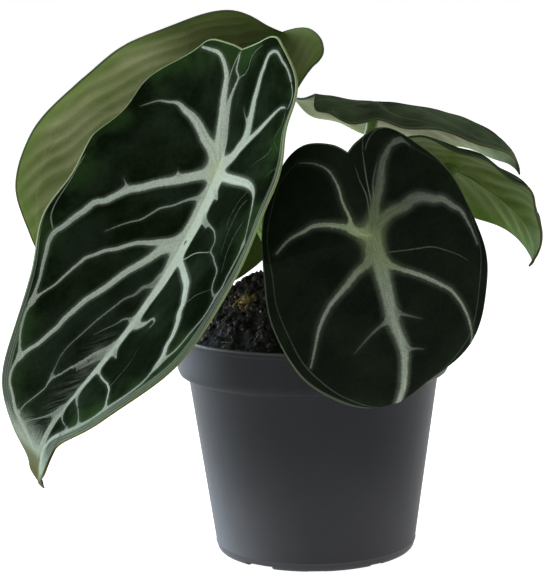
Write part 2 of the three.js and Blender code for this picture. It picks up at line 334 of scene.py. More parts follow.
def revolved(profile, sides, spin=None):
    # points and faces of a profile (radius, height) turned round the upright axis, closed where it meets it
    points, faces, rows = [], [], []
    for radius, height in profile:
        rows.append((len(points), radius == 0))
        if radius == 0:
            points.append((0, 0, height))
            continue
        for i in range(sides):
            angle = 2 * math.pi * i / sides
            r, z = (radius, height) if spin is None else spin(radius, height, angle)
            points.append((r * math.cos(angle), r * math.sin(angle), z))
    for (first, firstPole), (second, secondPole) in zip(rows, rows[1:]):
        if firstPole:
            faces += [(first, second + (i + 1) % sides, second + i) for i in range(sides)]
        elif secondPole:
            faces += [(second, first + i, first + (i + 1) % sides) for i in range(sides)]
        else:
            faces += [(a, d, c, b) for a, b, c, d in ringFaces(first, second, sides)]
    return points, faces


# Leaves

blade = {
    "thickness": 0.8, "rimThickness": 1.05, "rimReach": 7.0,
    "waveHeight": 1.0, "waveCount": 9,
    "bulge": 0.75, "bulgeWidth": 4.5, "bulgeMargin": 9,  # how far the blade stands up between its veins
    "ridgeSpacing": 8.2,
    "blend": 1.1,                        # how softly veins run into each other
    "finest": 1.0,                       # veins narrower than this are drawn by their own ribs alone
    "farGap": 6.0, "fieldReach": 14,     # how far from the veins their field is told
    "topRelief": 0.17, "ribReach": 1.0,  # height and greatest half width of a rib on the top face
    "ribSink": 0.015,                    # how far a rib's widest place lies under the face
    "ribPoints": 8,
    # for each face: the narrowest vein with a rib on it, and the ribs' share of the veins' width
    "topRibs": ("top", 0, 0.6), "lowRibs": ("underside", 1.6, 0.55),
    "flatReach": 400,                    # length that the UV map of the flat blade spans
}

stations = [-0.93, -1, -0.93, -0.66, -0.3, 0.1, 0.3, 0.5, 0.66, 0.79, 0.87, 0.92, 0.965]
halfOutlines = {
    "even": [0.13, 0.36, 0.57, 0.81, 0.93, 1, 1, 0.89, 0.72, 0.51, 0.31, 0.15, 0.05],
    "broad": [0.12, 0.36, 0.57, 0.78, 0.91, 0.99, 1.01, 0.92, 0.77, 0.54, 0.32, 0.16, 0.05],
    "narrow": [0.21, 0.46, 0.58, 0.76, 0.83, 0.97, 0.99, 1, 0.65, 0.25, 0.25, 0.14, 0.045],
    "slender": [0.09, 0.31, 0.47, 0.81, 0.94, 1.05, 1.06, 0.88, 0.7, 0.54, 0.32, 0.13, 0.1],
    "open": [0.15, 0.39, 0.56, 0.73, 0.85, 1, 1.06, 1, 0.72, 0.46, 0.28, 0.15, 0.05],
    "deep": [0.07, 0.34, 0.51, 0.69, 0.77, 0.89, 1.08, 1.01, 0.8, 0.54, 0.32, 0.16, 0.055],
}

# Veins are (widths from the start to the end, tone or tones, points from the start), each point as
# (towards the tip, towards the right edge) from the hub on the blade laid flat.
frontLeftVeins = [
    ((13, 16, 15.2, 13.6, 10.4, 8.2, 6.6, 5.2, 2.6, 2.6, 3.6, 2), 1.0, [(0, -1), (6, -4.6), (11, -4.4),
     (21, -4.2), (28, -4), (33, -3.6), (40, -3.6), (47, -4.2), (54, -4.6), (62, -3.8), (71, -4.2),
     (81, -4.3), (88, -4.4), (97, -3.3), (107, -1.8), (118, 0), (129, 1), (141, 1), (152, 0), (159, 0)]),
    ((6.2, 5.4, 5.0, 4.4, 3.2, 1.6, 0.9, 0.6), (0.95, 0.95, 0.95, 0.9, 0.85, 0.6, 0.35, 0.2), [(-1, 0),
     (-8, 6), (-12, 11), (-17, 16), (-21, 21), (-23, 25), (-26, 30), (-26, 35), (-26, 40), (-24, 45),
     (-22, 49)]),
    ((5.3, 4.4, 3.7, 2.4, 1.3), 0.95, [(-2, 0), (-10, 3), (-17, 5), (-23, 6), (-30, 7), (-36, 7),
     (-40, 7), (-45, 9), (-48, 11), (-50, 14), (-51, 19), (-52, 25)]),
    ((3, 2.4, 1.6, 1.1, 0.9), 0.8, [(-7, 0), (-17, 2), (-24, 3), (-31, 3), (-38, 1), (-40, 0.5), (-43, 2),
     (-50, 0.5)]),
    ((0.6, 0.7, 0.7), 0.5, [(-34, 6), (-40, 5), (-46, 3), (-51, 0)]),
    ((9.5, 5.7, 4.1, 1.8, 1.1), 0.9, [(0, 0), (-2, -5), (-5, -12), (-9, -15), (-14, -18), (-20, -18),
     (-24, -18), (-30, -18), (-35, -19), (-40, -20), (-44, -22), (-48, -24), (-50, -27), (-50, -31),
     (-47, -34), (-43, -38), (-38, -41)]),
    ((5.0, 3.6, 3.3, 2.2, 1.1), 0.9, [(-7, -15), (-10, -19), (-13, -23), (-17, -28), (-21, -32),
     (-25, -36), (-27, -39), (-27, -42)]),
    ((5.6, 4.6, 4.8, 4.6, 3.4, 1.2, 0.8, 0.6), (1, 1, 1, 1, 0.95, 0.6, 0.4, 0.3), [(0, 0), (3, -8),
     (5, -19), (6, -27), (7, -35), (9, -41), (12, -45), (17, -48), (22, -50), (28, -52), (32, -53)]),
    ((5.4, 4.4, 3.5, 2.1, 1.2), 1.0, [(1, 0), (4, 7), (7, 13), (10, 19), (13, 25), (17, 31), (20, 36),
     (25, 40), (29, 43), (32, 47), (38, 49), (43, 51), (50, 53), (55, 55), (61, 55), (68, 53), (74, 51),
     (81, 48), (87, 46), (92, 44)]),
    ((2.4, 1.2, 1.0, 0.8, 0.4), 0.55, [(12, -2), (13.5, 3), (16, 8), (20, 13), (23, 18), (27, 21),
     (31, 24), (34, 28), (38, 32), (43, 36)]),
    ((4.3, 2.5, 2.0, 1.4, 0.9), 0.9, [(31, 0), (35, 5), (37, 10), (39, 14), (41, 19), (44, 23), (48, 27),
     (51, 31), (55, 34), (59, 37), (63, 38), (67, 39), (73, 40), (79, 41), (85, 43), (91, 44)]),
    ((5.6, 3.8, 3.2, 2.4, 1.8), 1.0, [(33, -0.5), (37, 4), (41, 8), (45, 10), (50, 13), (55, 16),
     (60, 18), (66, 20), (71, 22), (76, 24), (82, 25), (88, 26), (93, 26), (98, 27), (104, 28), (109, 30),
     (114, 31)]),
    ((2.8, 1.2, 1.0, 0.7, 0.4), 0.36, [(51, 1), (55, 2), (58, 5), (62, 6), (66, 9), (72, 11), (79, 13),
     (84, 14), (90, 15), (96, 16), (102, 16), (106, 15), (111, 14)]),
    ((2.6, 1.3, 0.9, 0.7, 0.5), 0.65, [(82, -3), (86, -0.5), (90, 3), (94, 5), (99, 7), (103, 9),
     (108, 11), (112, 13), (117, 13), (123, 15), (128, 17), (132, 18)]),
    ((1.6, 0.6, 0.3), 0.4, [(71, -2), (73, 3), (77, 5), (82, 8), (86, 10)]),
    ((6.0, 3.6, 4.0, 2.9, 2.3), 1.0, [(35, 0), (39, -4), (43, -11), (48, -22), (52, -30), (56, -34),
     (59, -37), (63, -39), (66, -42), (71, -45), (75, -46), (78, -48), (82, -49)]),
    ((3.2, 1.2, 0.8, 0.9, 0.7), 0.55, [(19, -2), (21, -8), (24, -14), (26, -20), (28, -26), (30, -29),
     (33, -32), (37, -33), (39, -37), (41, -40), (44, -45), (48, -47), (51, -49), (53, -52)]),
    ((0.9, 0.8, 0.7), 0.5, [(42, -11), (41, -16), (39, -23), (38, -30), (37, -34)]),
    ((2.2, 1.2, 1.1, 1.3, 1.1), 0.75, [(95, -4), (96.5, -9), (97, -15), (97, -22), (98, -27), (100, -30),
     (102, -33)]),
    ((0.6, 0.5, 0.3), 0.16, [(98, -25), (94, -27), (89, -29), (85, -29), (80, -27)]),
    ((7, 4, 1.6, 0.6), 0.7, [(71, -4), (73, -10), (71.5, -16), (68.5, -20), (69.5, -24), (72, -23)]),
    ((6, 3, 0.8), 0.6, [(85, -3), (86.5, -8), (88, -13)]),
    ((2.6, 1.0, 0.6), 0.4, [(107, -2), (110, -6), (111.5, -13), (114, -22)]),
    ((2.2, 0.9, 0.5), 0.35, [(118, 0), (120, -6), (119, -14)]),
    ((3.5, 1.4, 0.4), 0.6, [(21, -6), (24, -12), (27, -18)]),
    ((4.5, 1.4), 0.7, [(9, -6), (14, -15)]),
    ((3, 1.2, 0.5), 0.45, [(84, -2), (94, 2), (102, 6)]),
    ((1.8, 1.1, 0.8, 0.6), 0.4, [(119, 1), (126, 6), (132, 11.5), (137, 15)]),
    ((0.5, 0.7, 0.9), 0.4, [(10, 61), (19, 63), (33, 63), (42, 62), (49, 60), (55, 56)]),
    ((1.2, 1.4, 1.5, 2.1, 3.2), 0.75, [(92, 44), (97, 43), (105, 39), (110, 35), (114, 32), (120, 31),
     (125, 29), (129, 24), (133, 20), (136, 14), (139, 8), (142, 3)]),
    ((0.8, 0.7, 0.7), 0.5, [(-38, -41), (-32, -44), (-26, -44)]),
    ((0.9, 1.0, 1.4, 1.6, 3), 0.6, [(32, -53), (38, -53), (44, -53), (49, -54), (53, -54), (61, -55),
     (68, -54), (75, -53), (82, -49), (88, -48), (94, -44), (103, -35), (111, -27), (120, -16), (129, -6),
     (139, -1)]),
    ((0.5, 0.4, 0.25), 0.3, [(59, -39), (56, -42), (53, -46), (51, -49)]),
    ((0.45, 0.3, 0.2), 0.3, [(10, -40), (16, -37), (23, -35), (28, -37)]),
    ((0.45, 0.3, 0.2), 0.3, [(14, -43), (19, -40), (26, -39), (33, -40), (38, -42)]),
    ((0.4, 0.3, 0.2), 0.3, [(23, -47), (29, -45), (35, -45), (41, -47), (45, -49)]),
    ((1.4, 0.6, 0.2), 0.6, [(8, 15), (6, 17), (4, 18)]),
    ((1.4, 0.6, 0.2), 0.55, [(20, 37), (18, 38), (15, 41)]),
    ((1.2, 0.5, 0.2), 0.55, [(-14, -20), (-18, -19), (-23, -13), (-27, -9)]),
    ((0.5, 0.4, 0.25), 0.5, [(-38, 1), (-40, -1), (-41, -5), (-44, -8), (-48, -9), (-51, -13),
     (-53, -19)]),
    ((0.4, 0.3, 0.2), 0.3, [(-26, -43), (-20, -45), (-15, -44), (-12, -44), (-8, -48)]),
    ((0.4, 0.3, 0.2), 0.3, [(-2, -54), (-1, -51), (2, -48), (5, -46)]),
    ((0.4, 0.3, 0.2), 0.3, [(-10, -44), (-6, -42), (-3, -37), (0, -33)]),
]
frontRightVeins = [
    ((6.6, 6.4, 5.0, 4.0, 3.4, 3.0, 2.2), (0.75, 0.8, 0.85, 0.9, 0.9, 0.8, 0.6), [(0, 0), (7, 0), (15, 0),
     (22, 0), (28, 0), (35, 0), (41, -1), (47, -2), (52, -2), (59, -1), (67, 0), (74, 1), (82, 1),
     (92, 0)]),
    ((3.2, 2.3, 1.9, 1.5, 1.1), (0.95, 1.1, 1.0, 0.85, 0.65), [(0, 0), (-1, 3), (-4, 7), (-7, 12),
     (-9, 17), (-10, 22), (-9, 26), (-8, 31), (-6, 35), (-3, 39)]),
    ((1.5, 1.2, 1.0, 0.8, 0.5), (1.05, 1.0, 0.85, 0.65, 0.35), [(-1, 2), (-3, 7), (-9, 7), (-16, 8),
     (-22, 8), (-28, 9), (-32, 11), (-35, 14), (-37, 17), (-39, 21)]),
    ((3.8, 2.8, 1.8, 1.3, 0.9), (0.5, 0.65, 0.75, 0.6, 0.35), [(3, 1), (10, 5), (13, 10), (17, 15),
     (20, 19), (23, 23), (28, 27), (33, 30), (41, 33), (50, 36)]),
    ((5.0, 4.4, 4.0, 2.6, 1.2), (0.5, 0.42, 0.38, 0.35, 0.3), [(-1, 0), (-12, -5), (-18, -9), (-26, -13),
     (-30, -16), (-34, -20), (-36, -24), (-37, -27)]),
    ((4.6, 4.8, 5.0, 3.2, 1.4, 0.9), (0.5, 0.42, 0.42, 0.5, 0.6, 0.4), [(-2, -1), (-4, -5), (-7, -11),
     (-8, -17), (-10, -22), (-10, -27), (-8, -32), (-7, -36), (-3, -40), (0, -43), (8, -45), (16, -46)]),
    ((3.2, 2.0, 1.8, 1.5, 1.2, 0.9), (0.6, 0.8, 0.85, 0.8, 0.7, 0.4), [(5, 1), (12, -3), (16, -8),
     (19, -13), (23, -19), (28, -25), (32, -29), (38, -32), (45, -34), (53, -35), (59, -35), (65, -34)]),
    ((1.6, 1.1, 0.7), (0.4, 0.25, 0.1), [(31, 0), (33, -3), (36, -8), (39, -13)]),
    ((1.6, 1.1, 0.7), (0.4, 0.25, 0.1), [(33, 0), (35, 3), (39, 10), (46, 18)]),
    ((1.6, 1.1, 0.7), (0.4, 0.25, 0.1), [(46, -2), (49, -4), (51, -8), (53, -12)]),
    ((0.8, 0.7, 0.5), (0.2, 0.25, 0.12), [(8, -3), (9, -10), (10, -17), (11, -24), (14, -30), (18, -36),
     (22, -40)]),
    ((0.9, 0.8, 0.5), (0.5, 0.4, 0.2), [(-3, 0), (-8, -1), (-16, -2), (-22, -1), (-29, -1)]),
    ((0.9, 0.8, 0.5), (0.5, 0.4, 0.2), [(-4, 0), (-12, -3), (-20, -4), (-26, -5), (-34, -7), (-41, -10)]),
    ((0.9, 0.8, 0.5), (0.5, 0.4, 0.2), [(-8, -2), (-15, -5), (-21, -7), (-29, -12)]),
    ((1.3, 1.1, 0.8), (0.35, 0.3, 0.15), [(-36, -24), (-36, -28), (-33, -31)]),
    ((0.8, 0.7, 0.5), (0.25, 0.2, 0.1), [(-34, -8), (-38, -11), (-42, -16), (-43, -22), (-41, -26)]),
    ((0.5, 0.6, 0.8), 0.16, [(-39, 21), (-37, 26), (-32, 32), (-25, 36), (-15, 40), (-6, 42), (7, 43),
     (21, 44), (35, 42), (46, 39), (56, 34), (66, 27), (74, 18), (82, 9)]),
    ((0.5, 0.6, 0.8), 0.16, [(-33, -31), (-27, -38), (-19, -44), (-11, -47), (-3, -47), (7, -47),
     (17, -47), (28, -45), (41, -41), (55, -35), (64, -28), (72, -21), (80, -11)]),
]
# The pattern of the other blades, for both halves: points in shares of the rear, the tip and the width.
usualMidrib = ((4.6, 2.6, 0.8), 1.0, [(0, 0), (0.3, 0), (0.6, 0), (0.85, 0), (0.985, 0)])
usualVeins = [
    ((3.4, 1.9, 0.6), 0.9, [(0, 0), (-0.12, 0.13), (-0.3, 0.28), (-0.48, 0.42), (-0.6, 0.56),
     (-0.58, 0.7)]),
    ((3, 1.7, 0.6), 0.9, [(0, 0), (-0.2, 0.06), (-0.45, 0.12), (-0.68, 0.19), (-0.82, 0.29),
     (-0.84, 0.42)]),
    ((3.2, 1.9, 0.7), 0.9, [(0, 0), (0.03, 0.2), (0.06, 0.45), (0.12, 0.66), (0.22, 0.8), (0.36, 0.86)]),
    ((2.6, 1.5, 0.6), 0.8, [(0.2, 0), (0.26, 0.2), (0.36, 0.42), (0.48, 0.62), (0.6, 0.7)]),
    ((2, 1.2, 0.5), 0.7, [(0.38, 0), (0.45, 0.18), (0.55, 0.34), (0.66, 0.48), (0.75, 0.5)]),
    ((1.4, 0.9, 0.4), 0.6, [(0.55, 0), (0.62, 0.12), (0.72, 0.24), (0.81, 0.32)]),
    ((1, 0.7, 0.4), 0.5, [(0.7, 0), (0.77, 0.08), (0.86, 0.14)]),
    ((0.7, 0.5, 0.4), 0.4, [(0.1, 0.0), (0.15, 0.16), (0.22, 0.32), (0.3, 0.44)]),
    ((0.7, 0.5, 0.4), 0.4, [(-0.05, 0.2), (-0.12, 0.38), (-0.2, 0.52), (-0.24, 0.66)]),
    ((0.6, 0.9, 1.3), 0.5, [(-0.84, 0.42), (-0.72, 0.62), (-0.58, 0.74), (-0.28, 0.84), (0.1, 0.9),
     (0.3, 0.9), (0.5, 0.8), (0.66, 0.64), (0.79, 0.44), (0.88, 0.22), (0.95, 0.03)]),
]


def flank(width, outline, droop, curl, lobe=0, lobeDroop=0, full=0):
    # one half of a blade: droop and curl fold it down, lobe and lobeDroop are its rear lobe's extra length
    # and droop, and full swells it between hub and tip
    return {"width": width, "outline": outline, "droop": droop, "curl": curl, "lobe": lobe,
            "lobeDroop": lobeDroop, "full": full}

# For each leaf: its hub, the angles that place and bend it, its lengths, its halves, its stalk (direction
# at the crown, rise, straight reach into the hub), its fineness and its pale margins' widths on the way.
usualLeaf = {"veins": None, "veinShare": 0.9, "spokes": 280, "rings": 54, "pucker": 0.12,
             "margins": {"left": ((0, 1),), "right": ((0, 1),)}}
leafShapes = {
    "front_left": {
        "hub": (-39, -42.5, 172.6), "facing": -147, "slope": 61.3, "swing": -2.9,
        "tip": 161, "rear": 56, "notch": 0.92, "front": -36.2, "hook": 94, "back": -25.4, "sweep": 44.8,
        "left": flank(58.6, "narrow", -15.4, 18.3, 0.7, 6.7),
        "right": flank(60.8, "slender", -23.4, -13.2, -0.4, 17.2),
        "stalk": (216, 30, 26), "veins": frontLeftVeins, "veinShare": 0.86, "spokes": 400, "rings": 84,
        "underRelief": 0.6, "pucker": 0, "margins": {
            "left": ((-60, 0), (-20, 1.6), (10, 3.0), (60, 3.4), (90, 4.0), (110, 4.8), (124, 6), (161, 7)),
            "right": ((-60, 0), (-30, 0), (10, 0.8), (60, 1.5), (90, 2.6), (110, 4.2), (136, 6.5),
                      (161, 7))},
    },
    "front_right": {
        "hub": (23, -87, 151), "facing": -77.3, "slope": 77.8, "swing": -11.7,
        "tip": 94, "rear": 42.7, "notch": 0.81, "front": 35.6, "hook": 90.5, "back": 15.7, "sweep": -6.5,
        "left": flank(49.1, "even", 11, 8.5, 0.75, 8.7),
        "right": flank(47.5, "broad", 11.8, 14.6, 2.8, 19.4),
        "stalk": (288, 48, 34), "veins": frontRightVeins, "veinShare": 1.0, "spokes": 400, "rings": 76,
        "underRelief": 0.6, "pucker": 0, "margins": {
            "left": ((-43, 0.4), (94, 0.4)),
            "right": ((-43, 0.3), (30, 0.4), (60, 1.6), (80, 2.4), (94, 2))},
    },
    "back_left": {
        **usualLeaf, "hub": (-55.7, 41, 185.3), "facing": 123.4, "slope": 61.5, "swing": -24.2,
        "tip": 106.2, "rear": 70.9, "notch": 0.93, "front": 30.8, "hook": 8.5, "back": 39.3, "sweep": 6.7,
        "left": flank(68.4, "open", -4.2, 10.7, -2.2, 6.2),
        "right": flank(59.8, "deep", 40.6, 24.4, 27.6, 47.5),
        "stalk": (144, 40, 30), "spokes": 400, "rings": 70, "underRelief": 0.35, "pucker": 0.5,
    },
    "back_right": {
        **usualLeaf, "hub": (28.5, 12.6, 194.6), "facing": 3.5, "slope": 4.5, "swing": 2,
        "tip": 77, "rear": 31, "notch": 0.85, "front": 24, "hook": 59, "back": -10, "sweep": 4,
        "left": flank(37.7, "even", 31, -10, 2.5, -8, 0.07), "right": flank(32, "even", 8, 5, -5, 8, 0.11),
        "stalk": (72, 40, 34), "underRelief": 0.25,
    },
    "right": {
        **usualLeaf, "hub": (61.5, 11.7, 165.4), "facing": 61.7, "slope": 38, "swing": 43.4,
        "tip": 64.3, "rear": 33.3, "notch": 0.85, "front": 37, "hook": 82, "back": 16.5, "sweep": 26,
        "left": flank(34.5, "even", -9.5, 13, full=-0.2), "right": flank(44, "even", -5, 46, 0, 1, 0.03),
        "stalk": (2, 38, 26), "underRelief": 0.22,
    },
}


def turned(axis, degrees):
    return np.array(Matrix.Rotation(math.radians(degrees), 3, axis))


def leafTurn(leaf):
    return turned("Z", leaf["facing"]) @ turned("Y", leaf["slope"]) @ turned("Z", -90 - leaf["swing"])


def standing(leaf, points):
    # points of the bent blade, put in their place over the pot
    return points @ leafTurn(leaf).T + leaf["hub"]


def bendBlade(leaf, along, across, lift=0):
    # where a point of the flat blade goes: local x to the right, y to the tip, z out of the top face
    def heading(s):
        ahead = s / leaf["tip"]
        rising = np.radians(leaf["back"]) * (-s / leaf["rear"])
        falling = -np.radians(leaf["front"]) * ahead - np.radians(leaf["hook"]) * ahead ** 4
        return np.where(s < 0, rising, falling), np.radians(leaf["sweep"]) * np.maximum(ahead, 0) ** 2

    def direction(s):
        angle, sweep = heading(s)
        level = np.cos(angle)
        return np.stack([np.sin(sweep) * level, np.cos(sweep) * level, np.sin(angle)], axis=-1)

    steps = (np.arange(24) + 0.5) / 24
    spine = direction(along[:, None] * steps).sum(axis=1) * (along / 24)[:, None]
    sweep = heading(along)[1]
    side = np.stack([np.cos(sweep), -np.sin(sweep), np.zeros_like(sweep)], axis=-1)
    out = np.cross(side, direction(along))
    pick = {key: np.where(across > 0, leaf["right"][key], leaf["left"][key])
            for key in ("width", "droop", "curl", "lobeDroop")}
    behind = np.clip(-along / leaf["rear"], 0, 1.35)
    droop = np.radians(pick["droop"] + behind * pick["lobeDroop"])
    rate = np.radians(pick["curl"]) / pick["width"]
    reach = np.abs(across)
    sideways = (np.sin(droop + rate * reach) - np.sin(droop)) / rate
    outwards = (np.cos(droop + rate * reach) - np.cos(droop)) / rate
    return spine + (np.sign(across) * sideways)[:, None] * side + (outwards + lift)[:, None] * out


def bladeNormal(leaf, along, across, step=0.05):
    outwards = np.where(across > 0, 1, -1) * step
    rightwards = bendBlade(leaf, along, across + outwards) - bendBlade(leaf, along, across)
    tipwards = bendBlade(leaf, along + step, across) - bendBlade(leaf, along - step, across)
    normal = np.cross(rightwards / outwards[:, None], tipwards)
    return normal / np.linalg.norm(normal, axis=1)[:, None]


def halfOutline(leaf, side):
    lobeLength = leaf["rear"] + side["lobe"]
    notch = leaf["notch"] * leaf["rear"]
    points = [(-notch, 0)]
    for i, station in enumerate(stations):
        ahead = max(station, 0)
        fullness = 1 + side["full"] * 8 * ahead ** 2 * (1 - ahead)
        place = station * (lobeLength if station < 0 else leaf["tip"])
        if i == 0:
            place = -(notch + lobeLength) / 2
        points.append((place, halfOutlines[side["outline"]][i] * side["width"] * fullness))
    return smoothPath(points + [(leaf["tip"], 0)], 40)


def flatOutline(leaf):
    # round the flat blade: from the notch along the right half to the tip and back along the left
    half = leaf["spokes"] // 2
    right, left = (evenPath(halfOutline(leaf, leaf[side]), half) for side in ("right", "left"))
    return np.vstack([right, (left * (1, -1))[-2:0:-1]])


def veinPaths(leaf):
    # every vein as (flat path in steps of about a millimetre, half widths, tones)
    def placed(vein, side, sign):
        widths, tone, points = vein
        return widths, tone, [(s * (leaf["rear"] if s < 0 else leaf["tip"]), sign * t * side["width"])
                              for s, t in points]

    veins = leaf["veins"]
    if veins is None:
        veins = [placed(usualMidrib, leaf["right"], 1)]
        for side, sign in (("right", 1), ("left", -1)):
            veins += [placed(vein, leaf[side], sign) for vein in usualVeins]
    paths = []
    for widths, tone, points in veins:
        path = smoothPath(points, 8)
        path = evenPath(path, max(4, round(alongPath(path)[-1])))

        def spread(numbers):
            return np.interp(np.linspace(0, 1, len(path)), np.linspace(0, 1, len(numbers)), numbers)

        halfWidths = spread(widths) * leaf["veinShare"] / 2
        tones = spread(np.atleast_1d(tone))
        if np.ndim(tone) == 0:
            tones = tones * (0.45 + 0.55 * np.sqrt(halfWidths / halfWidths.max()))
        paths.append((path, halfWidths, tones))
    return paths


def veinField(points, paths):
    # for flat points: how far outside the veins' edges, the veins' tone about it, and the place along and
    # across the nearest vein with its half width
    total = np.full(len(points), math.exp(-blade["farGap"] / blade["blend"]))
    toned, nearest = np.zeros(len(points)), np.full(len(points), 1e9)
    veinAlong, veinSide, veinHalf = (np.zeros(len(points)) for _ in range(3))
    reach = blade["fieldReach"]
    for number, (path, halfWidths, tone) in enumerate(paths):
        if halfWidths.max() * 2 < blade["finest"]:
            continue
        near = np.all((points > path.min(axis=0) - reach) & (points < path.max(axis=0) + reach), axis=1)
        gap, place, side = distanceToPath(points[near], path)
        walked = alongPath(path)
        here = np.interp(place, walked, halfWidths)
        outside = gap - here
        weight = np.exp(-outside / blade["blend"])
        total[near] += weight
        toned[near] += weight * np.interp(place, walked, tone)
        closer = outside < nearest[near]
        chosen = np.flatnonzero(near)[closer]
        nearest[chosen] = outside[closer]
        veinAlong[chosen] = place[closer] + 37 * number  # so that no two veins have the same fibres
        veinSide[chosen] = (gap * side)[closer]
        veinHalf[chosen] = here[closer]
    return {"veinGap": -blade["blend"] * np.log(total), "veinTone": toned / total, "veinAlong": veinAlong,
            "veinSide": veinSide, "veinHalf": veinHalf}


def ringShare(points, edge):
    # how far out a flat point is, as a share of the way from the hub to the edge
    angles = np.arctan2(edge[:, 1], edge[:, 0])
    order = np.argsort(angles)
    reach = np.interp(np.arctan2(points[:, 1], points[:, 0]), angles[order], np.hypot(*edge[order].T),
                      period=2 * math.pi)
    return np.clip(np.hypot(*points.T) / reach, 0, 1)


def ridges(points):
    # rows of soft ridges that run from the midrib out towards the edge, as the blade puckers between veins
    along, across = points.T
    coarse = np.array([noise.noise(Vector((s / 22, t / 22, 3.1))) for s, t in points])
    rising = 0.6 * along - 0.8 * np.abs(across)
    return np.sin(2 * math.pi * rising / blade["ridgeSpacing"] + 3.2 * coarse)


def bladeSurface(leaf, points, share, paths, edge):
    # top and underside points of the blade over flat points, with the numbers that its finish reads
    along, across = points.T
    values = veinField(points, paths)
    rim = distanceToPath(points, np.vstack([edge, edge[:1]]))[0]
    wave = blade["waveHeight"] * share ** 2 * np.sin(blade["waveCount"] * np.arctan2(across, along))
    inner = np.clip(rim / blade["bulgeMargin"], 0, 1)
    quilt = 1 - np.exp(-(np.maximum(values["veinGap"], 0) / blade["bulgeWidth"]) ** 2)
    pucker = ridges(points) if leaf["pucker"] else np.zeros(len(points))
    lift = wave + (blade["bulge"] * quilt - leaf["pucker"] * pucker) * inner ** 2 * (3 - 2 * inner)
    top = bendBlade(leaf, along, across, lift)
    inward = np.clip(rim / blade["rimReach"], 0, 1)
    thickness = blade["rimThickness"] + (blade["thickness"] - blade["rimThickness"]) * inward
    underside = top - thickness[:, None] * bladeNormal(leaf, along, across)
    margins = [np.interp(along, *np.array(leaf["margins"][side]).T) for side in ("left", "right")]
    margin = np.where(across > 0, margins[1], margins[0])
    width = np.where(across > 0, leaf["right"]["width"], leaf["left"]["width"])
    values.update({
        "rimGap": rim, "rimShare": rim / np.maximum(margin, 0.05), "tipShare": along / leaf["tip"],
        "hubGap": np.hypot(along, across), "acrossShare": across / width, "pucker": pucker})
    return top, underside, values


def bladeMesh(name, leaf, paths, edge):
    spokes, rings = leaf["spokes"], leaf["rings"]
    reach = 1 - 0.5 * blade["rimThickness"] / np.hypot(*edge.T)       # room for the rounded rim
    shares = (np.arange(1, rings + 1) / rings) ** 0.9
    flat = np.vstack([[(0, 0)], (shares[:, None, None] * (edge * reach[:, None])).reshape(-1, 2)])
    share = np.concatenate([[0], np.repeat(shares, spokes)])
    top, underside, values = bladeSurface(leaf, flat, share, paths, edge)
    outer = slice(1 + (rings - 1) * spokes, None)
    inside = slice(1 + (rings - 2) * spokes, 1 + (rings - 1) * spokes)
    middle = (top[outer] + underside[outer]) / 2
    upwards = (top[outer] - underside[outer]) / 2
    outwards = middle - (top[inside] + underside[inside]) / 2
    outwards *= (np.linalg.norm(upwards, axis=1) / np.linalg.norm(outwards, axis=1))[:, None]
    rounds = [middle + math.cos(a) * upwards + math.sin(a) * outwards for a in np.radians([45, 90, 135])]
    count = len(flat)
    values = {key: np.concatenate([v, v] + [v[outer] * (not key.startswith("rim"))] * 3)
              for key, v in values.items()}
    faces = [(0, 1 + i, 1 + (i + 1) % spokes) for i in range(spokes)]
    for ring in range(rings - 1):
        faces += ringFaces(1 + ring * spokes, 1 + (ring + 1) * spokes, spokes)
    topFaces = len(faces)
    faces += [tuple(count + i for i in reversed(face)) for face in faces]
    chain = [count - spokes, 2 * count, 2 * count + spokes, 2 * count + 2 * spokes, 2 * count - spokes]
    for first, second in zip(chain, chain[1:]):
        faces += ringFaces(first, second, spokes)
    mesh = makeMesh(name, standing(leaf, np.vstack([top, underside] + rounds)), faces, values=values)
    mesh.polygons.foreach_set("material_index", [0] * topFaces + [1] * (len(faces) - topFaces))
    corners = np.zeros(len(mesh.loops), dtype=np.int32)
    mesh.loops.foreach_get("vertex_index", corners)
    flatPlaces = 0.5 + np.vstack([flat, flat] + [edge] * 3)[corners] / blade["flatReach"]
    mesh.uv_layers.new(name="flat").data.foreach_set("uv", flatPlaces.ravel())
    return mesh


def ribMesh(name, leaf, paths, edge, face, finest, share):
    # the veins' middle lines, laid on one face of the blade, as chains of edges
    points, edges, halfWidths, ribHalf, tones = [], [], [], [], []
    for path, widths, tone in paths:
        if widths.max() * 2 < finest:
            continue
        edges += [(len(points) + i, len(points) + i + 1) for i in range(len(path) - 1)]
        points += path.tolist()
        halfWidths += widths.tolist()
        narrow = np.clip((widths * 2 - 0.7) / 1.5, 0, 1)
        walked = alongPath(path)
        taper = np.clip(np.minimum(walked, walked[-1] - walked) / 2 + 0.08, 0, 1)
        ribHalf += (taper * np.minimum(widths * (1 + (share - 1) * narrow), blade["ribReach"])).tolist()
        tones += tone.tolist()
    flat = np.array(points)
    top, underside, values = bladeSurface(leaf, flat, ringShare(flat, edge), paths, edge)
    tones = np.where(values["veinGap"] < -0.3, np.maximum(tones, values["veinTone"]), tones)
    halfWidths = np.maximum(halfWidths, -values["veinGap"])
    values.update({"veinHalf": halfWidths, "ribHalf": np.array(ribHalf) * millimetre, "veinTone": tones})
    placed = standing(leaf, top if face == "top" else underside)
    return makePiece(name, makeMesh(name, placed, edges=edges, values=values))


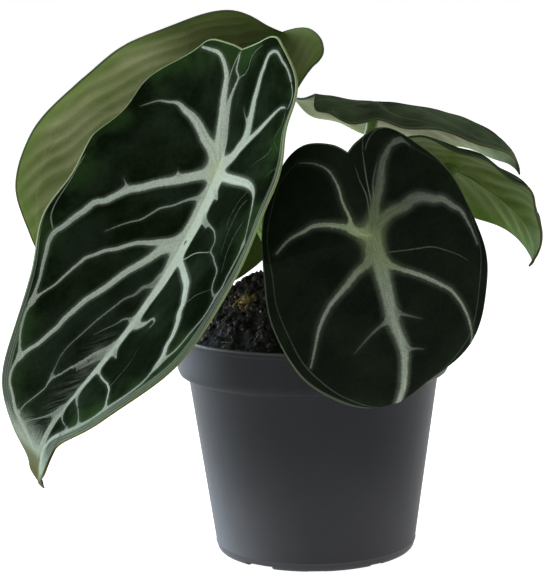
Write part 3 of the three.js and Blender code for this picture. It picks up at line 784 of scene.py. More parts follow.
def veinTree():
    # lays a low rib over every vein of both faces and joins them to the blade
    tree = GeometryTree("veinRibs", {
        "Top veins": "Object", "Underside veins": "Object", "Top relief": "Float",
        "Underside relief": "Float", "Top finish": "Material", "Underside finish": "Material",
        "Points round": "Int", "Sink": "Float"})
    surface = tree.given("Geometry")

    def sampled(value):
        return tree.add("GeometryNodeSampleNearestSurface", {"Mesh": surface, "Value": value},
                        data_type="FLOAT_VECTOR")

    def smooth(mesh, domain, chosen, value):
        return tree.add("GeometryNodeSetShadeSmooth", {"Geometry": mesh, "Selection": chosen,
                                                       "Shade Smooth": value}, domain=domain)

    def ribs(face):
        curves = tree.placed(tree.curve(tree.shape(face + " veins")), sampled(tree.place()))
        curves = tree.facing(curves, sampled(tree.add("GeometryNodeInputNormal")))
        up, sideways = tree.split(tree.place())
        profile = tree.store(tree.circle(tree.given("Points round")), "ribSide", sideways)
        height = up.atLeast(0).power(4) * tree.given(face + " relief") + up.atMost(0) * 0.12
        profile = tree.placed(profile, tree.vector(height - tree.given("Sink"), sideways))
        mesh = tree.swept(curves, profile, tree.named("ribHalf"))
        across = tree.named("ribSide") * tree.named("ribHalf") / millimetre
        mesh = tree.store(mesh, "veinGap", abs(across) - tree.named("veinHalf"))
        mesh = smooth(tree.store(mesh, "veinSide", across), "FACE", None, True)
        knife = tree.add("FunctionNodeCompare", {0: tree.add("GeometryNodeInputMeshEdgeAngle"), 1: 1.2},
                         operation="GREATER_THAN")
        return tree.painted(smooth(mesh, "EDGE", knife, False), face + " finish")

    return tree.end(tree.join(surface, ribs("Top"), ribs("Underside")))


# Stalks and crown

stalk = {
    "circle": 10.2, "foot": 98, "baseRadius": 4.2, "midRadius": 3.0, "topRadius": 2.3, "flareRadius": 3.3,
    "endDepth": 0.75, "steps": 90, "sides": 28, "furrows": 7, "furrowDepth": 0.03,
    "base": (0.3, 0.33, 0.13), "green": (0.13, 0.23, 0.045), "streak": (0.2, 0.3, 0.1),
    # top is painted shade on the last stretch of each stalk, where it runs in under its blade
    "blotch": (0.09, 0.05, 0.04), "top": (0.05, 0.085, 0.02),
}


def stalkPath(leaf):
    # the middle line from the crown to the hub, bowing as the solid does
    angle, rise, reach = leaf["stalk"]
    foot = np.array([stalk["circle"] * math.cos(math.radians(angle)),
                     stalk["circle"] * math.sin(math.radians(angle)), stalk["foot"]])
    normal = leafTurn(leaf) @ (0, 0, 1)
    end = np.array(leaf["hub"]) - stalk["endDepth"] * normal
    second = foot + (0.35 * foot[0], 0.35 * foot[1], rise)
    third = end - reach * normal
    t = np.linspace(0, 1, stalk["steps"] + 1)[:, None]
    return (1 - t) ** 3 * foot + 3 * t * (1 - t) ** 2 * second + 3 * t ** 2 * (1 - t) * third + t ** 3 * end


def stalkRadius(share, length):
    low = stalk["baseRadius"] + (stalk["midRadius"] - stalk["baseRadius"]) * share / 0.35
    high = stalk["midRadius"] + (stalk["topRadius"] - stalk["midRadius"]) * (share - 0.35) / 0.65
    flare = np.clip(1 - (1 - share) * length / 5, 0, 1) ** 2
    return np.where(share < 0.35, low, high) + (stalk["flareRadius"] - stalk["topRadius"]) * flare


def stalkTree():
    # a tube of changing thickness along a path, with shallow furrows
    tree = GeometryTree("leafStalk", {"Sides": "Int", "Furrow depth": "Float", "Furrows": "Int",
                                      "Finish": "Material"})
    x, y = tree.split(tree.place())
    furrow = y.maths("COSINE", y.maths("ARCTAN2", y, x) * tree.given("Furrows"))
    furrowed = tree.add("ShaderNodeVectorMath", {"Vector": tree.place(), "Scale": 1 - furrow * tree.given(
        "Furrow depth")}, operation="SCALE")
    profile = tree.placed(tree.circle(tree.given("Sides")), furrowed)
    tube = tree.swept(tree.curve(tree.given("Geometry")), profile, tree.named("tubeRadius"))
    return tree.end(tree.painted(tube))


crown = {
    "profile": [(0, 94), (4.6, 94), (5.0, 98), (5.2, 102), (5.3, 112), (5.2, 122), (4.6, 126), (3.6, 129),
                (2.6, 132), (1.6, 135), (0.7, 136.7), (0, 137)],
    "rings": 60, "sides": 72, "ridges": 11, "ridgeDepth": 0.045, "wobble": 0.04,
    "fibreDark": (0.09, 0.055, 0.025), "fibreLight": (0.34, 0.25, 0.12), "green": (0.16, 0.22, 0.06),
}


def crownMesh(name):
    def ridged(radius, height, angle):
        wobble = noise.noise(Vector((math.cos(angle) * 2, math.sin(angle) * 2, height / 9)))
        ridge = crown["ridgeDepth"] * (1 + math.cos(crown["ridges"] * angle))
        return radius * (1 - ridge + crown["wobble"] * wobble), height

    profile = evenPath(np.array(crown["profile"], float), crown["rings"])
    profile[0, 0] = profile[-1, 0] = 0
    return makeMesh(name, *revolved(profile.tolist(), crown["sides"], ridged))


# Potting mix

soil = {
    "wall": [(0, 3.75), (42.3, 3.75), (43.25, 5.3), (53.1, 78.9), (53.2, 80.2), (56.8, 81.9), (57.65, 84.6),
             (57.65, 93.5)],
    "rings": 130, "spokes": 300, "peak": 124, "power": 2.4, "edge": 57.65, "edgeHeight": 93.5,
    "clods": 1.8, "crumbs": 1.5, "grit": 0.45, "bareRings": 3,
    "dark": (0.0022, 0.002, 0.0019), "light": (0.011, 0.0095, 0.009), "bark": (0.09, 0.055, 0.02),
}


def moundHeight(x, y):
    share = min(math.hypot(x, y) / soil["edge"], 1)
    height = soil["peak"] - (soil["peak"] - soil["edgeHeight"]) * share ** soil["power"]
    calm = min(1, (1 - share) * 6 + 0.25)
    lumps = (math.sin(0.61 * x + 1.3) * math.cos(0.53 * y - 0.4) + 0.6 * math.sin(0.29 * x - 0.83 * y + 2.1)
             + 0.5 * math.cos(1.07 * x + 0.37 * y))     # the solid's own
    clod = noise.fractal(Vector((x / 9, y / 9, 0.3)), 1.0, 2.1, 3)
    crumb = abs(noise.noise(Vector((x / 2.6, y / 2.6, 4.2))))
    grit = noise.noise(Vector((x / 0.9, y / 0.9, 9.1)))
    return height + calm * (0.8 * lumps + soil["clods"] * clod + soil["crumbs"] * (2 * crumb - 0.6)
                            + soil["grit"] * grit)


def soilMesh(name):
    def heaped(radius, height, angle):
        if height < 0:
            height = moundHeight(radius * math.cos(angle), radius * math.sin(angle))
        return radius, height

    rings, sides = soil["rings"], soil["spokes"]
    heap = [(soil["edge"] * (1 - i / rings), -1) for i in range(1, rings)] + [(0, -1)]
    points, faces = revolved(soil["wall"] + heap, sides, heaped)
    points[-1] = (0, 0, moundHeight(0, 0))
    bare = np.zeros(len(points))
    bare[1 + (len(soil["wall"]) - 1 + soil["bareRings"]) * sides:] = 1
    return makeMesh(name, points, faces, values={"open": bare})


# Litter on the potting mix: sizes in millimetres, densities in pieces per square metre

litter = {
    "barkChips": {"shape": (1.0, 0.75, 0.5, 0.3), "density": 150000, "smallest": 0.4, "largest": 2.1,
                  "lean": 0.9, "heapShare": 6, "seed": 4, "dark": (0.003, 0.0028, 0.0026),
                  "light": (0.016, 0.014, 0.013), "odd": (0.06, 0.046, 0.026), "oddFrom": 0.975},
    "coirFibres": {"shape": None, "density": 26000, "smallest": 0.6, "largest": 1.5,
                   "lean": 0.35, "heapShare": 0, "seed": 9, "dark": (0.014, 0.01, 0.007),
                   "light": (0.07, 0.05, 0.028), "odd": (0.2, 0.16, 0.09), "oddFrom": 0.88},
    "paleGrains": {"shape": (1.0, 0.9, 0.8, 0.12), "density": 15000, "smallest": 0.3, "largest": 0.8,
                   "lean": 1.5, "heapShare": 14, "seed": 15, "dark": (0.16, 0.14, 0.1),
                   "light": (0.42, 0.4, 0.33), "odd": (0.3, 0.2, 0.07), "oddFrom": 0.7},
}
ochreHeap = {"place": (-29, -23, 113.7), "reach": 6.5,
             "dark": (0.07, 0.045, 0.012), "light": (0.34, 0.25, 0.09)}


def crumbShape(name, shape):
    # a stone-like lump of a few dozen faces
    *stretch, roughness = shape
    points, faces = revolved([(0, -1), (0.75, -0.7), (1, 0), (0.75, 0.65), (0, 0.9)], 7)
    draw = random.Random(len(name))
    low, high = 1 - roughness, 1 + roughness
    points = [[part * share * draw.uniform(low, high) for part, share in zip(point, stretch)]
              for point in points]
    return makePiece(name, makeMesh(name, points, faces))


def fibreShape(name):
    # a bent thread, four-sided, closed at both ends
    spine = [(-3, 0.5, 0.05), (-1.6, -0.3, 0.13), (0, 0, 0.15), (1.4, 0.6, 0.14), (2.7, 0.1, 0.05)]
    points, faces = [], []
    for i, (along, aside, radius) in enumerate(spine):
        points += [(along, aside + radius * math.cos(a), radius * math.sin(a) + 0.2)
                   for a in np.radians([0, 90, 180, 270])]
        if i:
            faces += [tuple(reversed(face)) for face in ringFaces(4 * i - 4, 4 * i, 4)]
    return makePiece(name, makeMesh(name, points, faces + [(0, 1, 2, 3), (19, 18, 17, 16)]))


def litterTree():
    # strews turned copies of one shape over the open face of the mix, thicker about one place
    tree = GeometryTree("litter", {"Shape": "Object", "Density": "Float", "Smallest": "Float",
                                   "Largest": "Float", "Lean": "Float", "Heap place": "Vector",
                                   "Heap reach": "Float", "Heap share": "Float", "Seed": "Int",
                                   "Finish": "Material"})

    def heaped():
        away = tree.add("ShaderNodeVectorMath", {0: tree.place(), 1: tree.given("Heap place")}, "Value",
                        operation="DISTANCE")
        return away.ease(tree.given("Heap reach"), tree.given("Heap reach") * 0.3)

    def chance():
        return tree.add("FunctionNodeRandomValue", {"Seed": tree.given("Seed")}, 1, data_type="FLOAT")

    density = tree.given("Density") * (1 + heaped() * tree.given("Heap share"))
    points = tree.add("GeometryNodeDistributePointsOnFaces", {
        "Mesh": tree.given("Geometry"), "Selection": tree.named("open"), "Density": density,
        "Seed": tree.given("Seed")}, distribute_method="RANDOM")
    lean = tree.given("Lean")
    tilt = tree.add("FunctionNodeRandomValue", {
        0: tree.vector(lean * -1, lean * -1, -math.pi), 1: tree.vector(lean, lean, math.pi),
        "Seed": tree.given("Seed")}, data_type="FLOAT_VECTOR")
    rotation = tree.add("FunctionNodeRotateRotation", {
        "Rotation": points.sibling("Rotation"), "Rotate By": tilt}, rotation_space="LOCAL")
    growth = chance().power(2.5)
    scale = tree.given("Smallest") + (tree.given("Largest") - tree.given("Smallest")) * growth
    pieces = tree.add("GeometryNodeInstanceOnPoints", {
        "Points": points, "Instance": tree.shape("Shape"), "Rotation": rotation, "Scale": scale})
    pieces = tree.store(pieces, "shade", chance(), "INSTANCE")
    pieces = tree.store(pieces, "heap", heaped(), "INSTANCE")
    return tree.end(tree.painted(tree.realized(pieces)))


# Pot

pot = {
    "profile": [(0, 0), (40.5, 0), (41.4, 0.15), (42.2, 0.5), (42.8, 1.1), (43.2, 1.9), (43.5, 3.0),
                (43.65, 3.9), (43.95, 4.15), (43.95, 4.4), (43.8, 4.7), (54.3, 77.8), (54.6, 78.4),
                (55.2, 78.7), (57.2, 79.1), (58.2, 79.8), (58.8, 81.1), (59.1, 82.6), (59.3, 84.1),
                (59.65, 95.0), (59.75, 95.5), (60, 95.9), (60, 97.3), (59.9, 97.75), (59.5, 98), (58.9, 98),
                (58.5, 97.8), (58.4, 97.4), (57.7, 84.2), (56.8, 81.4), (53.3, 79.8), (53.1, 78.5),
                (42.5, 4.8), (41.2, 3.4), (0, 3.4)],
    "sides": 192, "sweepRadius": 40.0, "channelStart": 15.0, "channelEnd": 70.0,
    "drainRadius": 3.6, "drainCircle": 33.0,
    # each channel of the base: its direction, width and depth
    "channels": [(-126, 13.6, 1.7), (-91, 7, 0.5), (-53, 7, 1.0), (-4, 7, 1.7), (41, 7, 1.7), (86, 7, 1.7),
                 (131, 7, 1.7), (176, 7, 1.7)],
    # foot: lighter towards the bottom, partly dust and partly painted light bounced up from the floor
    "dark": (0.0108, 0.0116, 0.0134), "light": (0.0128, 0.0138, 0.016), "foot": (0.056, 0.056, 0.06),
    # lip is a painted highlight along the top edge of the rim
    "paintedLipHighlight": (0.1, 0.103, 0.108), "scuff": (0.036, 0.038, 0.042), "speck": (0.1, 0.1, 0.1),
}


def potTree():
    # turns the wall's profile round and cuts the channels and drain holes out of its base
    tree = GeometryTree("nurseryPot", {
        "Sides": "Int", "Sweep radius": "Float", "Channels": "Object", "Channel length": "Float",
        "Channel middle": "Float", "Drain radius": "Float", "Drain circle": "Float", "Finish": "Material"})
    outwards = tree.add("ShaderNodeVectorMath", {0: tree.place()}, operation="NORMALIZE")
    circle = tree.facing(tree.circle(tree.given("Sides"), tree.given("Sweep radius")), outwards)
    wall = tree.swept(circle, tree.curve(tree.given("Geometry")))
    wall = tree.add("GeometryNodeMergeByDistance", {"Geometry": wall, "Distance": 0.00002})
    channel = tree.add("GeometryNodeMeshCube", {
        "Size": tree.vector(tree.given("Channel length"), 1.0, 2.0)})
    drain = tree.add("GeometryNodeMeshCylinder", {"Vertices": 40, "Radius": tree.given("Drain radius"),
                                                  "Depth": 0.02})
    girth = tree.vector(1.0, tree.named("width"), tree.named("depth"))
    for cutter, distance, scale in ((channel, "Channel middle", girth), (drain, "Drain circle", None)):
        cutter = tree.add("GeometryNodeTransform", {"Geometry": cutter,
                                                    "Translation": tree.vector(tree.given(distance))})
        cutter = tree.add("GeometryNodeInstanceOnPoints", {
            "Points": tree.shape("Channels"), "Instance": cutter, "Scale": scale,
            "Rotation": tree.vector(z=tree.named("turn"))})
        wall = tree.add("GeometryNodeMeshBoolean", {0: wall, 1: tree.realized(cutter)},
                        operation="DIFFERENCE", solver="MANIFOLD")
    return tree.end(tree.painted(wall))


# Making the pieces

# for each leaf, the last number is how strongly painted shade darkens its underside
leafColours = {
    "front_left": {
        "silver": (0.28, 0.325, 0.26), "hub": (0.285, 0.33, 0.215), "hubReach": 7, "strength": 1.0,
        "soft": 0.5, "feather": 0.45, "haze": 0.16, "hazeReach": 2.2, "streak": 0.05, "weave": 0.04,
        "wash": 1.0, "strokes": 0.23, "rim": (0.36, 0.42, 0.3), "rimLine": 0.85, "stripe": 0.3,
        "deep": (0.0024, 0.0046, 0.0016), "lit": (0.0072, 0.0118, 0.0064), "green": (0.011, 0.027, 0.006),
        "rimGreen": 0.85, "under": (0.2, 0.27, 0.09), "ridge": (0.2, 0.24, 0.12), "edge": (0.2, 0.25, 0.12),
        "paintedShade": 0},
    "front_right": {
        "silver": (0.33, 0.38, 0.29), "hub": (0.28, 0.36, 0.155), "hubReach": 30, "strength": 0.79,
        "soft": 0.9, "feather": 0.6, "haze": 0.17, "hazeReach": 3.0, "streak": 0.14, "weave": 0.06,
        "wash": 0, "strokes": 0, "rim": (0.2, 0.26, 0.15), "rimLine": 0.4, "stripe": 0.2,
        "deep": (0.0058, 0.0078, 0.005), "lit": (0.0088, 0.012, 0.0076), "green": (0.008, 0.015, 0.007),
        "rimGreen": 0.4, "under": (0.1, 0.13, 0.07), "ridge": (0.1, 0.13, 0.07),
        "edge": (0.03, 0.05, 0.025), "paintedShade": 0},
    "back_left": {
        "silver": (0.33, 0.4, 0.31), "hub": (0.42, 0.47, 0.27), "hubReach": 8, "strength": 0.9,
        "soft": 0.5, "feather": 0.5, "haze": 0.12, "hazeReach": 2.6, "streak": 0.08, "weave": 0.05,
        "wash": 0.5, "strokes": 0, "rim": (0.2, 0.24, 0.14), "rimLine": 0.3, "stripe": 0.1,
        "deep": (0.003, 0.006, 0.002), "lit": (0.008, 0.014, 0.007), "green": (0.011, 0.027, 0.006),
        "rimGreen": 0.6, "under": (0.2, 0.26, 0.08), "ridge": (0.335, 0.355, 0.18),
        "edge": (0.05, 0.07, 0.035), "paintedShade": 1.0},
    "back_right": {
        "silver": (0.2, 0.25, 0.17), "hub": (0.2, 0.25, 0.14), "hubReach": 8, "strength": 0.3,
        "soft": 0.9, "feather": 0.9, "haze": 0.05, "hazeReach": 2.6, "streak": 0.2, "weave": 0.1,
        "wash": 0.15, "strokes": 0, "rim": (0.1, 0.14, 0.07), "rimLine": 0.2, "stripe": 0.1,
        "deep": (0.034, 0.05, 0.027), "lit": (0.078, 0.108, 0.056), "green": (0.05, 0.085, 0.03),
        "rimGreen": 0.4, "under": (0.35, 0.375, 0.21), "ridge": (0.4, 0.415, 0.25),
        "edge": (0.06, 0.08, 0.04), "paintedShade": 0},
    "right": {
        "silver": (0.34, 0.4, 0.3), "hub": (0.3, 0.36, 0.2), "hubReach": 8, "strength": 0.5,
        "soft": 0.8, "feather": 0.7, "haze": 0.1, "hazeReach": 2.6, "streak": 0.15, "weave": 0.1,
        "wash": 0, "strokes": 0, "rim": (0.12, 0.16, 0.08), "rimLine": 0.2, "stripe": 0.1,
        "deep": (0.006, 0.01, 0.005), "lit": (0.012, 0.02, 0.01), "green": (0.012, 0.03, 0.008),
        # the right leaf's underside greens are partly its own colour and partly painted light shining
        # through the blade
        "rimGreen": 0.5, "under": (0.06, 0.102, 0.012), "ridge": (0.088, 0.12, 0.024),
        "edge": (0.04, 0.06, 0.025), "paintedShade": 0},
}
# the last colour here is the colour of painted shade on the undersides
bladeTone = {"net": (0.03, 0.055, 0.025), "olive": (0.082, 0.092, 0.046), "brown": (0.05, 0.045, 0.012),
             "paintedShade": (0.027, 0.045, 0.006)}


def scaled(colour, share):
    return tuple(share * part for part in colour)


def agedTip(finish, tip, rim, colour, share):
    # the end of a blade, drying from its margin and its point
    dry = (tip.ease(0.84, 0.89) * rim.ease(3, 0.6) * 0.7).atLeast(tip.ease(0.868, 0.9) * 0.9)
    colour = finish.mix(dry * share, colour, bladeTone["olive"])
    return finish.mix(tip.ease(0.88, 0.96) * 0.75, colour, bladeTone["brown"])


def strokesBesideMidrib(finish, tip):
    # brush strokes that sweep off the midrib towards the tip and the right-hand edge
    reach = blade["flatReach"]
    flat = finish.split(finish.add("ShaderNodeUVMap", uv_map="flat"))
    ahead, aside = (part * reach - reach / 2 for part in flat)
    lengthwise, crosswise = ahead * 0.81 + aside * 0.59, aside * 0.81 - ahead * 0.59
    strokes = finish.noise(1, 3, 0.6, finish.vector(lengthwise * 0.07, crosswise * 0.8, 2.0))
    beside = strokes.ease(0.38, 0.75) * aside.ease(-2, 0.5) * aside.ease(16, 0.5).power(2.2)
    return beside * tip.ease(0.47, 0.56) * tip.ease(0.95, 0.86)


def bladeTopFinish(name, colours):
    finish = Finish("velvet" + name, 0.55, 0.0, {"Sheen Weight": 0.004, "Sheen Roughness": 0.45,
                                                 "Sheen Tint": (0.7, 0.85, 0.7, 1)})
    gap, tone, breadth, along, side = finish.attributes(
        "veinGap", "veinTone", "veinHalf", "veinAlong", "veinSide")
    tip, hub, rim, margin, across = finish.attributes(
        "tipShare", "hubGap", "rimGap", "rimShare", "acrossShare")
    fine = finish.noise(1100, 3, 0.6)
    cloud = finish.noise(45)
    mottle = finish.noise(2100, 2, 0.6).ease(0.36, 0.64)
    barbs = finish.noise(1, 3, 0.7, finish.vector(along * 0.55, side * 0.22))
    strands = finish.noise(1, 2, 0.5, finish.vector(along * 0.13, side * 1.9, 5.0)).ease(0.35, 0.65, -1, 1)
    weave = finish.noise(1, 2, 0.6, finish.vector(along * 1.7, side * 0.4, 8.0)).ease(0.35, 0.65, -1, 1)
    drift = finish.add("ShaderNodeTexNoise", {"Vector": finish.place(), "Scale": 260}, "Color")
    drift = finish.add("ShaderNodeVectorMath", {"Vector": drift, "Scale": 0.004}, operation="SCALE")
    net = finish.cellEdges(finish.add("ShaderNodeVectorMath", {0: finish.place(), 1: drift}), 0.16)

    # the dark ground
    dark = finish.mix(cloud.ease(0.35, 0.65), colours["deep"], colours["lit"])
    dark = finish.mix(rim.ease(16, 3) * cloud.ease(0.4, 0.62) * colours["rimGreen"], dark, colours["green"])
    dark = finish.mix(net * cloud * 0.09, dark, bladeTone["net"])

    # how much silver lies on it: veins with feathered edges, their haze, the margin, the tip, the strokes
    soft = breadth.ease(0.4, 2.6, 0.3, 1.0) * colours["soft"]
    feather = (barbs - 0.5) * soft.ease(0, 0.6, 0.5, 2.0) * colours["feather"]
    edge = gap + feather + (fine - 0.5) * 0.5
    silver = edge.ease(soft, soft * -1.6) * tone * colours["strength"]
    silver = silver * (1 + strands * colours["streak"] + weave * colours["weave"]) * (0.92 + fine * 0.16)
    haze = edge.ease(colours["hazeReach"], 0.0).power(2) * tone * breadth.ease(0.3, 1.6, 0.35, 1.0)
    haze = haze * colours["haze"]
    halo = hub.ease(12, 1) * edge.ease(5.5, 0.0).power(2) * colours["haze"]
    ragged = margin + (fine - 0.5) * 0.16
    lines = rim.maths("SINE", rim * 5.6 + cloud * 9)
    band = ragged.ease(1.0, 0.85) * ragged.ease(-0.1, 0.25, 0.7, 1.0) * (0.66 + lines * 0.34)
    band = band * colours["stripe"]
    wash = (tip + strands * 0.01).ease(0.79, 0.89) * colours["wash"] * (0.58 + fine * 0.24)
    strokes = strokesBesideMidrib(finish, tip) * colours["strokes"]
    amount = silver.atLeast(haze + halo).atLeast(band).atLeast(wash).atLeast(strokes)

    pale = finish.mix(mottle, scaled(colours["silver"], 0.82), scaled(colours["silver"], 1.15))
    pale = finish.mix(hub.ease(colours["hubReach"], 1.5) * 0.8, pale, colours["hub"])
    colour = finish.mix(amount.atMost(1.0), dark, pale)
    line = rim.ease(0.8, 0.4) * colours["rimLine"] * (0.6 + fine * 0.8)
    turning = tip.ease(0.45, 0.66).atLeast(across.ease(-0.1, -0.5) * tip.ease(-0.1, 0.1))
    colour = finish.mix(line.atMost(1.0), colour, finish.mix(turning, colours["rim"], bladeTone["olive"]))
    return finish.end(agedTip(finish, tip, rim, colour, colours["wash"]), 0.5 + fine * 0.16 - silver * 0.06,
                      finish.noise(170, 2) * 0.7 + fine * 0.12 + net * 0.04, 0.0008, 0.45)


def bladeUndersideFinish(name, colours):
    finish = Finish("underside" + name, 0.5, 0.03)
    gap, along, side, rim = finish.attributes("veinGap", "veinAlong", "veinSide", "rimGap")
    pucker, tip, across = finish.attributes("pucker", "tipShare", "acrossShare")
    fine = finish.noise(900, 4, 0.6)
    cloud = finish.noise(38)
    grain = finish.noise(1, 3, 0.6, finish.vector(along * 0.25, side * 0.9))
    net = finish.cellEdges(finish.place(), 0.12)
    green = tuple(part * share for part, share in zip(colours["under"], (0.85, 1.0, 0.75)))
    crest = (pucker + (grain - 0.5) * 1.6).ease(-0.9, 1.0)
    raised = cloud.ease(0.3, 0.7) * 0.5 + crest * 0.5
    colour = finish.mix(raised, scaled(colours["under"], 0.8), colours["ridge"])
    colour = finish.mix(rim.ease(10, 3) * 0.62, colour, finish.mix(cloud, green, scaled(green, 1.2)))
    colour = finish.mix(gap.ease(0.4, -0.5) * 0.3, colour, scaled(colours["ridge"], 1.1))
    # painted shade: the rear lobes and the right half, most of all its far edge, darkened towards a shadow
    # colour
    shade = (tip.ease(-0.12, -0.45).atLeast(across.ease(0.05, 0.6)) * 0.75).atLeast(across.ease(0.6, 0.85))
    colour = finish.mix(shade * colours["paintedShade"], colour, bladeTone["paintedShade"])
    colour = finish.mix(net * 0.1, colour, scaled(colours["under"], 0.5))
    edge = finish.mix(tip.ease(0.3, 0.6), colours["edge"], bladeTone["brown"])
    colour = finish.mix(rim.ease(0.75, 0.25) * 0.9, colour, edge)
    return finish.end(agedTip(finish, tip, rim, colour, colours["wash"]), 0.42 + fine * 0.2,
                      finish.noise(170, 2) * 0.6 + fine * 0.1 + net * 0.06, 0.0008, 0.45)


def makeStalkFinish():
    finish = Finish("stalkSkin", 0.42, 0.4)
    share, = finish.attributes("stalkShare")
    streak = finish.noise(520, 3, 0.6, finish.stretched(0.16))
    blotch = finish.noise(160)
    colour = finish.mix(share.ease(0.02, 0.5), stalk["base"], stalk["green"])
    colour = finish.mix(streak.ease(0.5, 0.75) * 0.5, colour, stalk["streak"])
    colour = finish.mix(blotch.ease(0.52, 0.7) * share.ease(0.7, 0.05) * 0.55, colour, stalk["blotch"])
    # painted shade: the last stretch of the stalk darkened where it runs in under the blade
    colour = finish.mix(share.ease(0.9, 0.99) * 0.7, colour, stalk["top"])
    return finish.end(colour, 0.36 + streak * 0.2, streak, 0.0004, 0.5)


def makeCrownFinish():
    finish = Finish("crownFibre", 0.7, 0.25)
    fibre = finish.noise(900, 4, 0.65, finish.stretched(0.12))
    blotch = finish.noise(140)
    colour = finish.mix(fibre.ease(0.3, 0.7), crown["fibreDark"], crown["fibreLight"])
    colour = finish.mix(blotch.ease(0.5, 0.7) * 0.6, colour, crown["green"])
    return finish.end(colour, 0.6 + fibre * 0.25, fibre, 0.0008, 0.8)


def makeSoilFinish():
    finish = Finish("peat", 0.9, 0.2)
    crumb = finish.noise(420, 4, 0.65)
    patch = finish.noise(70)
    colour = finish.mix(crumb.ease(0.35, 0.7), soil["dark"], soil["light"])
    colour = finish.mix(patch.ease(0.55, 0.7) * crumb.ease(0.5, 0.7) * 0.6, colour, soil["bark"])
    return finish.end(colour, 0.7 + crumb * 0.3, crumb + finish.noise(1400) * 0.4, 0.0012, 0.9)


def makeLitterFinish(name, kind):
    finish = Finish(name + "Finish", 0.8, 0.3)
    shade, heap = finish.attributes("shade", "heap")
    grain = finish.noise(900, 4, 0.65)
    colour = finish.mix(shade.ease(0.3, 0.95) * (0.5 + grain), kind["dark"], kind["light"])
    colour = finish.mix(shade.ease(kind["oddFrom"], kind["oddFrom"] + 0.03), colour, kind["odd"])
    ochre = finish.mix(grain.ease(0.35, 0.65), ochreHeap["dark"], ochreHeap["light"])
    colour = finish.mix(heap.power(0.7) * shade.ease(0.45, 0.6) * 0.92, colour, ochre)
    return finish.end(colour, 0.55 + grain * 0.35, grain, 0.0004, 0.8)


def makePotFinish():
    finish = Finish("mattPlastic", 0.5, 0.14)
    grain = finish.noise(2600, 3, 0.6)
    cloud = finish.noise(30)
    scuff = finish.noise(210, 5, 0.7, finish.stretched(0.2))
    speck = finish.noise(1300, 2, 0.5)
    height = finish.add("ShaderNodeSeparateXYZ", {"Vector": finish.place()}, "Z")
    colour = finish.mix(cloud.ease(0.3, 0.7), pot["dark"], pot["light"])
    # lighter towards the bottom: partly dust, partly painted light bounced up from the floor
    colour = finish.mix(height.ease(0.07, 0.0) * (0.5 + cloud * 0.5), colour, pot["foot"])
    # painted highlight along the top edge of the rim
    colour = finish.mix(height.ease(0.0968, 0.0976) * 0.8, colour, pot["paintedLipHighlight"])
    colour = finish.mix(scuff.ease(0.62, 0.8) * 0.35, colour, pot["scuff"])
    colour = finish.mix(speck.ease(0.76, 0.82) * 0.5, colour, pot["speck"])
    return finish.end(colour, 0.4 + grain * 0.12 + scuff.ease(0.6, 0.8) * 0.1, grain, 0.00012, 0.6)


stalkFinish = makeStalkFinish()
crownFinish = makeCrownFinish()
soilFinish = makeSoilFinish()
potFinish = makePotFinish()
veins = veinTree()
stalks = stalkTree()
for place, leaf in leafShapes.items():
    name = place.title().replace("_", "")
    paths, edge = veinPaths(leaf), flatOutline(leaf)
    mesh = bladeMesh("blade" + name, leaf, paths, edge)
    topFinish = bladeTopFinish(name, leafColours[place])
    undersideFinish = bladeUndersideFinish(name, leafColours[place])
    bladePiece = makePiece("blade" + name, mesh, [topFinish, undersideFinish])
    topLines = ribMesh("topLines", leaf, paths, edge, *blade["topRibs"])
    lowLines = ribMesh("lowLines", leaf, paths, edge, *blade["lowRibs"])
    grow(bladePiece, veins, {
        "Top veins": topLines, "Underside veins": lowLines, "Top relief": blade["topRelief"],
        "Underside relief": leaf["underRelief"], "Top finish": topFinish,
        "Underside finish": undersideFinish, "Points round": blade["ribPoints"], "Sink": blade["ribSink"]})
    discard(topLines, lowLines)
    carry(bladePiece, "leaf_blade", "leaf_" + place)

    path = stalkPath(leaf)
    walked = alongPath(path)
    share = walked / walked[-1]
    radii = stalkRadius(share, walked[-1]) * millimetre
    line = lineMesh("stalk" + name, path, {"tubeRadius": radii, "stalkShare": share})
    stalkPiece = makePiece("stalk" + name, line)
    grow(stalkPiece, stalks, {"Sides": stalk["sides"], "Furrow depth": stalk["furrowDepth"],
                              "Furrows": stalk["furrows"], "Finish": stalkFinish})
    stalkPiece.data.shade_smooth()
    carry(stalkPiece, "leaf_stalk", "petiole_" + place)
print("leaves made")

crownPiece = makePiece("crownSheath", crownMesh("crownSheath"), [crownFinish])
carry(crownPiece, "crown_sheath", "crown")
soilPiece = makePiece("pottingMix", soilMesh("pottingMix"), [soilFinish])
carry(soilPiece, "potting_mix", "soil")
strewing = litterTree()
for name, kind in litter.items():
    shape = crumbShape("shape", kind["shape"]) if kind["shape"] else fibreShape("shape")
    pieces = makePiece(name, soilPiece.data.copy())
    grow(pieces, strewing, {
        "Shape": shape, "Density": float(kind["density"]), "Smallest": kind["smallest"],
        "Largest": kind["largest"], "Lean": kind["lean"], "Seed": kind["seed"],
        "Heap place": [part * millimetre for part in ochreHeap["place"]],
        "Heap reach": ochreHeap["reach"] * millimetre, "Heap share": float(kind["heapShare"]),
        "Finish": makeLitterFinish(name, kind)})
    discard(shape)
    carry(pieces, "potting_mix")
print("potting mix made")

ring = [(radius - pot["sweepRadius"], -height, 0) for radius, height in reversed(pot["profile"])]
potPiece = makePiece("nurseryPot", lineMesh("nurseryPot", ring))
turns, widths, depths = np.array(pot["channels"], float).T
marks = makePiece("channelMarks", makeMesh("channelMarks", np.zeros((len(turns), 3)), values={
    "turn": np.radians(turns), "width": widths * millimetre, "depth": depths * millimetre}))
grow(potPiece, potTree(), {
    "Sides": pot["sides"], "Sweep radius": pot["sweepRadius"] * millimetre, "Channels": marks,
    "Channel length": (pot["channelEnd"] - pot["channelStart"]) * millimetre,
    "Channel middle": (pot["channelEnd"] + pot["channelStart"]) / 2 * millimetre,
    "Drain radius": pot["drainRadius"] * millimetre, "Drain circle": pot["drainCircle"] * millimetre,
    "Finish": potFinish})
discard(marks)
potPiece.data.shade_smooth()
carry(potPiece, "pot_plastic", "pot")


# Camera, floor and light

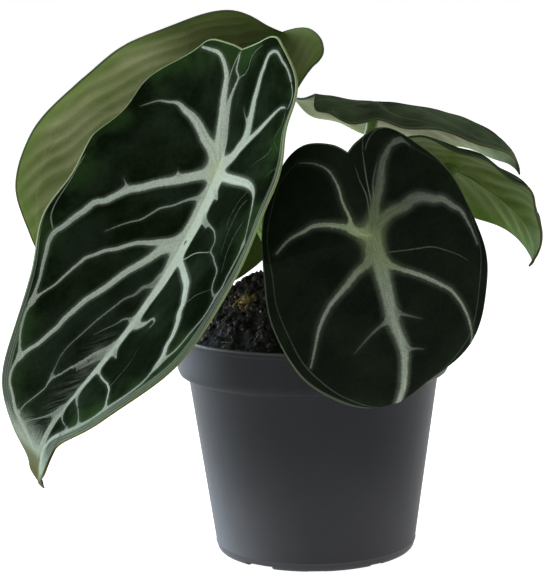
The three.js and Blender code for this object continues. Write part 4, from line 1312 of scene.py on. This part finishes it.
view = {"place": (-0.016, -1.0, 0.2875), "pitch": 9.806, "roll": -1.075,
        "focalPixels": 2341, "pictureWidth": 550, "pictureHeight": 580}
studio = {
    "ambient": 0.08, "backdrop": 1.0, "floorReach": 6000, "paper": (0.6, 0.6, 0.6, 1), "floorGlow": 0.95,
    # each light: its place in metres, what it looks at, its width and height, its power and its colour
    "lights": {
        "leftLight": ((-1.3, -0.15, 0.55), (0, 0, 0.14), (0.9, 1.2), 27, (0.95, 0.98, 1)),
        "rightLight": ((1.35, 0.1, 0.5), (0, 0, 0.12), (0.7, 1.2), 8, (1, 1, 1)),
        "topLight": ((0.1, 0.2, 1.3), (0, 0, 0.15), (1.2, 1.2), 3.5, (1, 1, 1)),
        "rimLight": ((-1.1, 0.7, 0.18), (0, 0, 0.06), (0.5, 0.7), 34, (0.64, 0.81, 1)),
    },
}


def placeCamera():
    pitch, roll = math.radians(view["pitch"]), math.radians(view["roll"])
    forward = Vector((0, math.cos(pitch), -math.sin(pitch)))
    right = Vector((1, 0, 0))
    up = right.cross(forward)
    across = right * math.cos(roll) + up * math.sin(roll)
    upward = up * math.cos(roll) - right * math.sin(roll)
    turn = Matrix((across, upward, -forward)).transposed().to_4x4()
    data = bpy.data.cameras.new("camera")
    data.sensor_width = 36
    data.lens = view["focalPixels"] * data.sensor_width / max(view["pictureWidth"], view["pictureHeight"])
    camera = makePiece("camera", data)
    camera.matrix_world = Matrix.Translation(view["place"]) @ turn
    bpy.context.scene.camera = camera


def placeLight(name, place, target, size, power, colour):
    data = bpy.data.lights.new(name, "AREA")
    data.color = colour
    data.shape = "RECTANGLE"
    data.size, data.size_y = size
    data.energy = power
    aim = (Vector(target) - Vector(place)).to_track_quat("-Z", "Y").to_matrix().to_4x4()
    makePiece(name, data).matrix_world = Matrix.Translation(place) @ aim


placeCamera()
reach = studio["floorReach"]
corners = [(-reach, -reach, 0), (reach, -reach, 0), (reach, reach, 0), (-reach, reach, 0)]
floorFinish = Finish("floorPaper", 0.9, 0.1, {"Base Color": studio["paper"], "Emission Color": (1, 1, 1, 1),
                                              "Emission Strength": studio["floorGlow"]})
makePiece("floor", makeMesh("floor", corners, [(0, 1, 2, 3)]), [floorFinish.material])

world = bpy.data.worlds.new("studio")
world.use_nodes = True
sky = Graph(world.node_tree)
seen = sky.add("ShaderNodeLightPath", output="Is Camera Ray")
strength = seen * (studio["backdrop"] - studio["ambient"]) + studio["ambient"]
background = world.node_tree.nodes["Background"]
background.inputs["Color"].default_value = (1, 1, 1, 1)
world.node_tree.links.new(strength.socket, background.inputs["Strength"])
bpy.context.scene.world = world
bpy.context.scene.view_settings.view_transform = "Standard"
for name, values in studio["lights"].items():
    placeLight(name, *values)
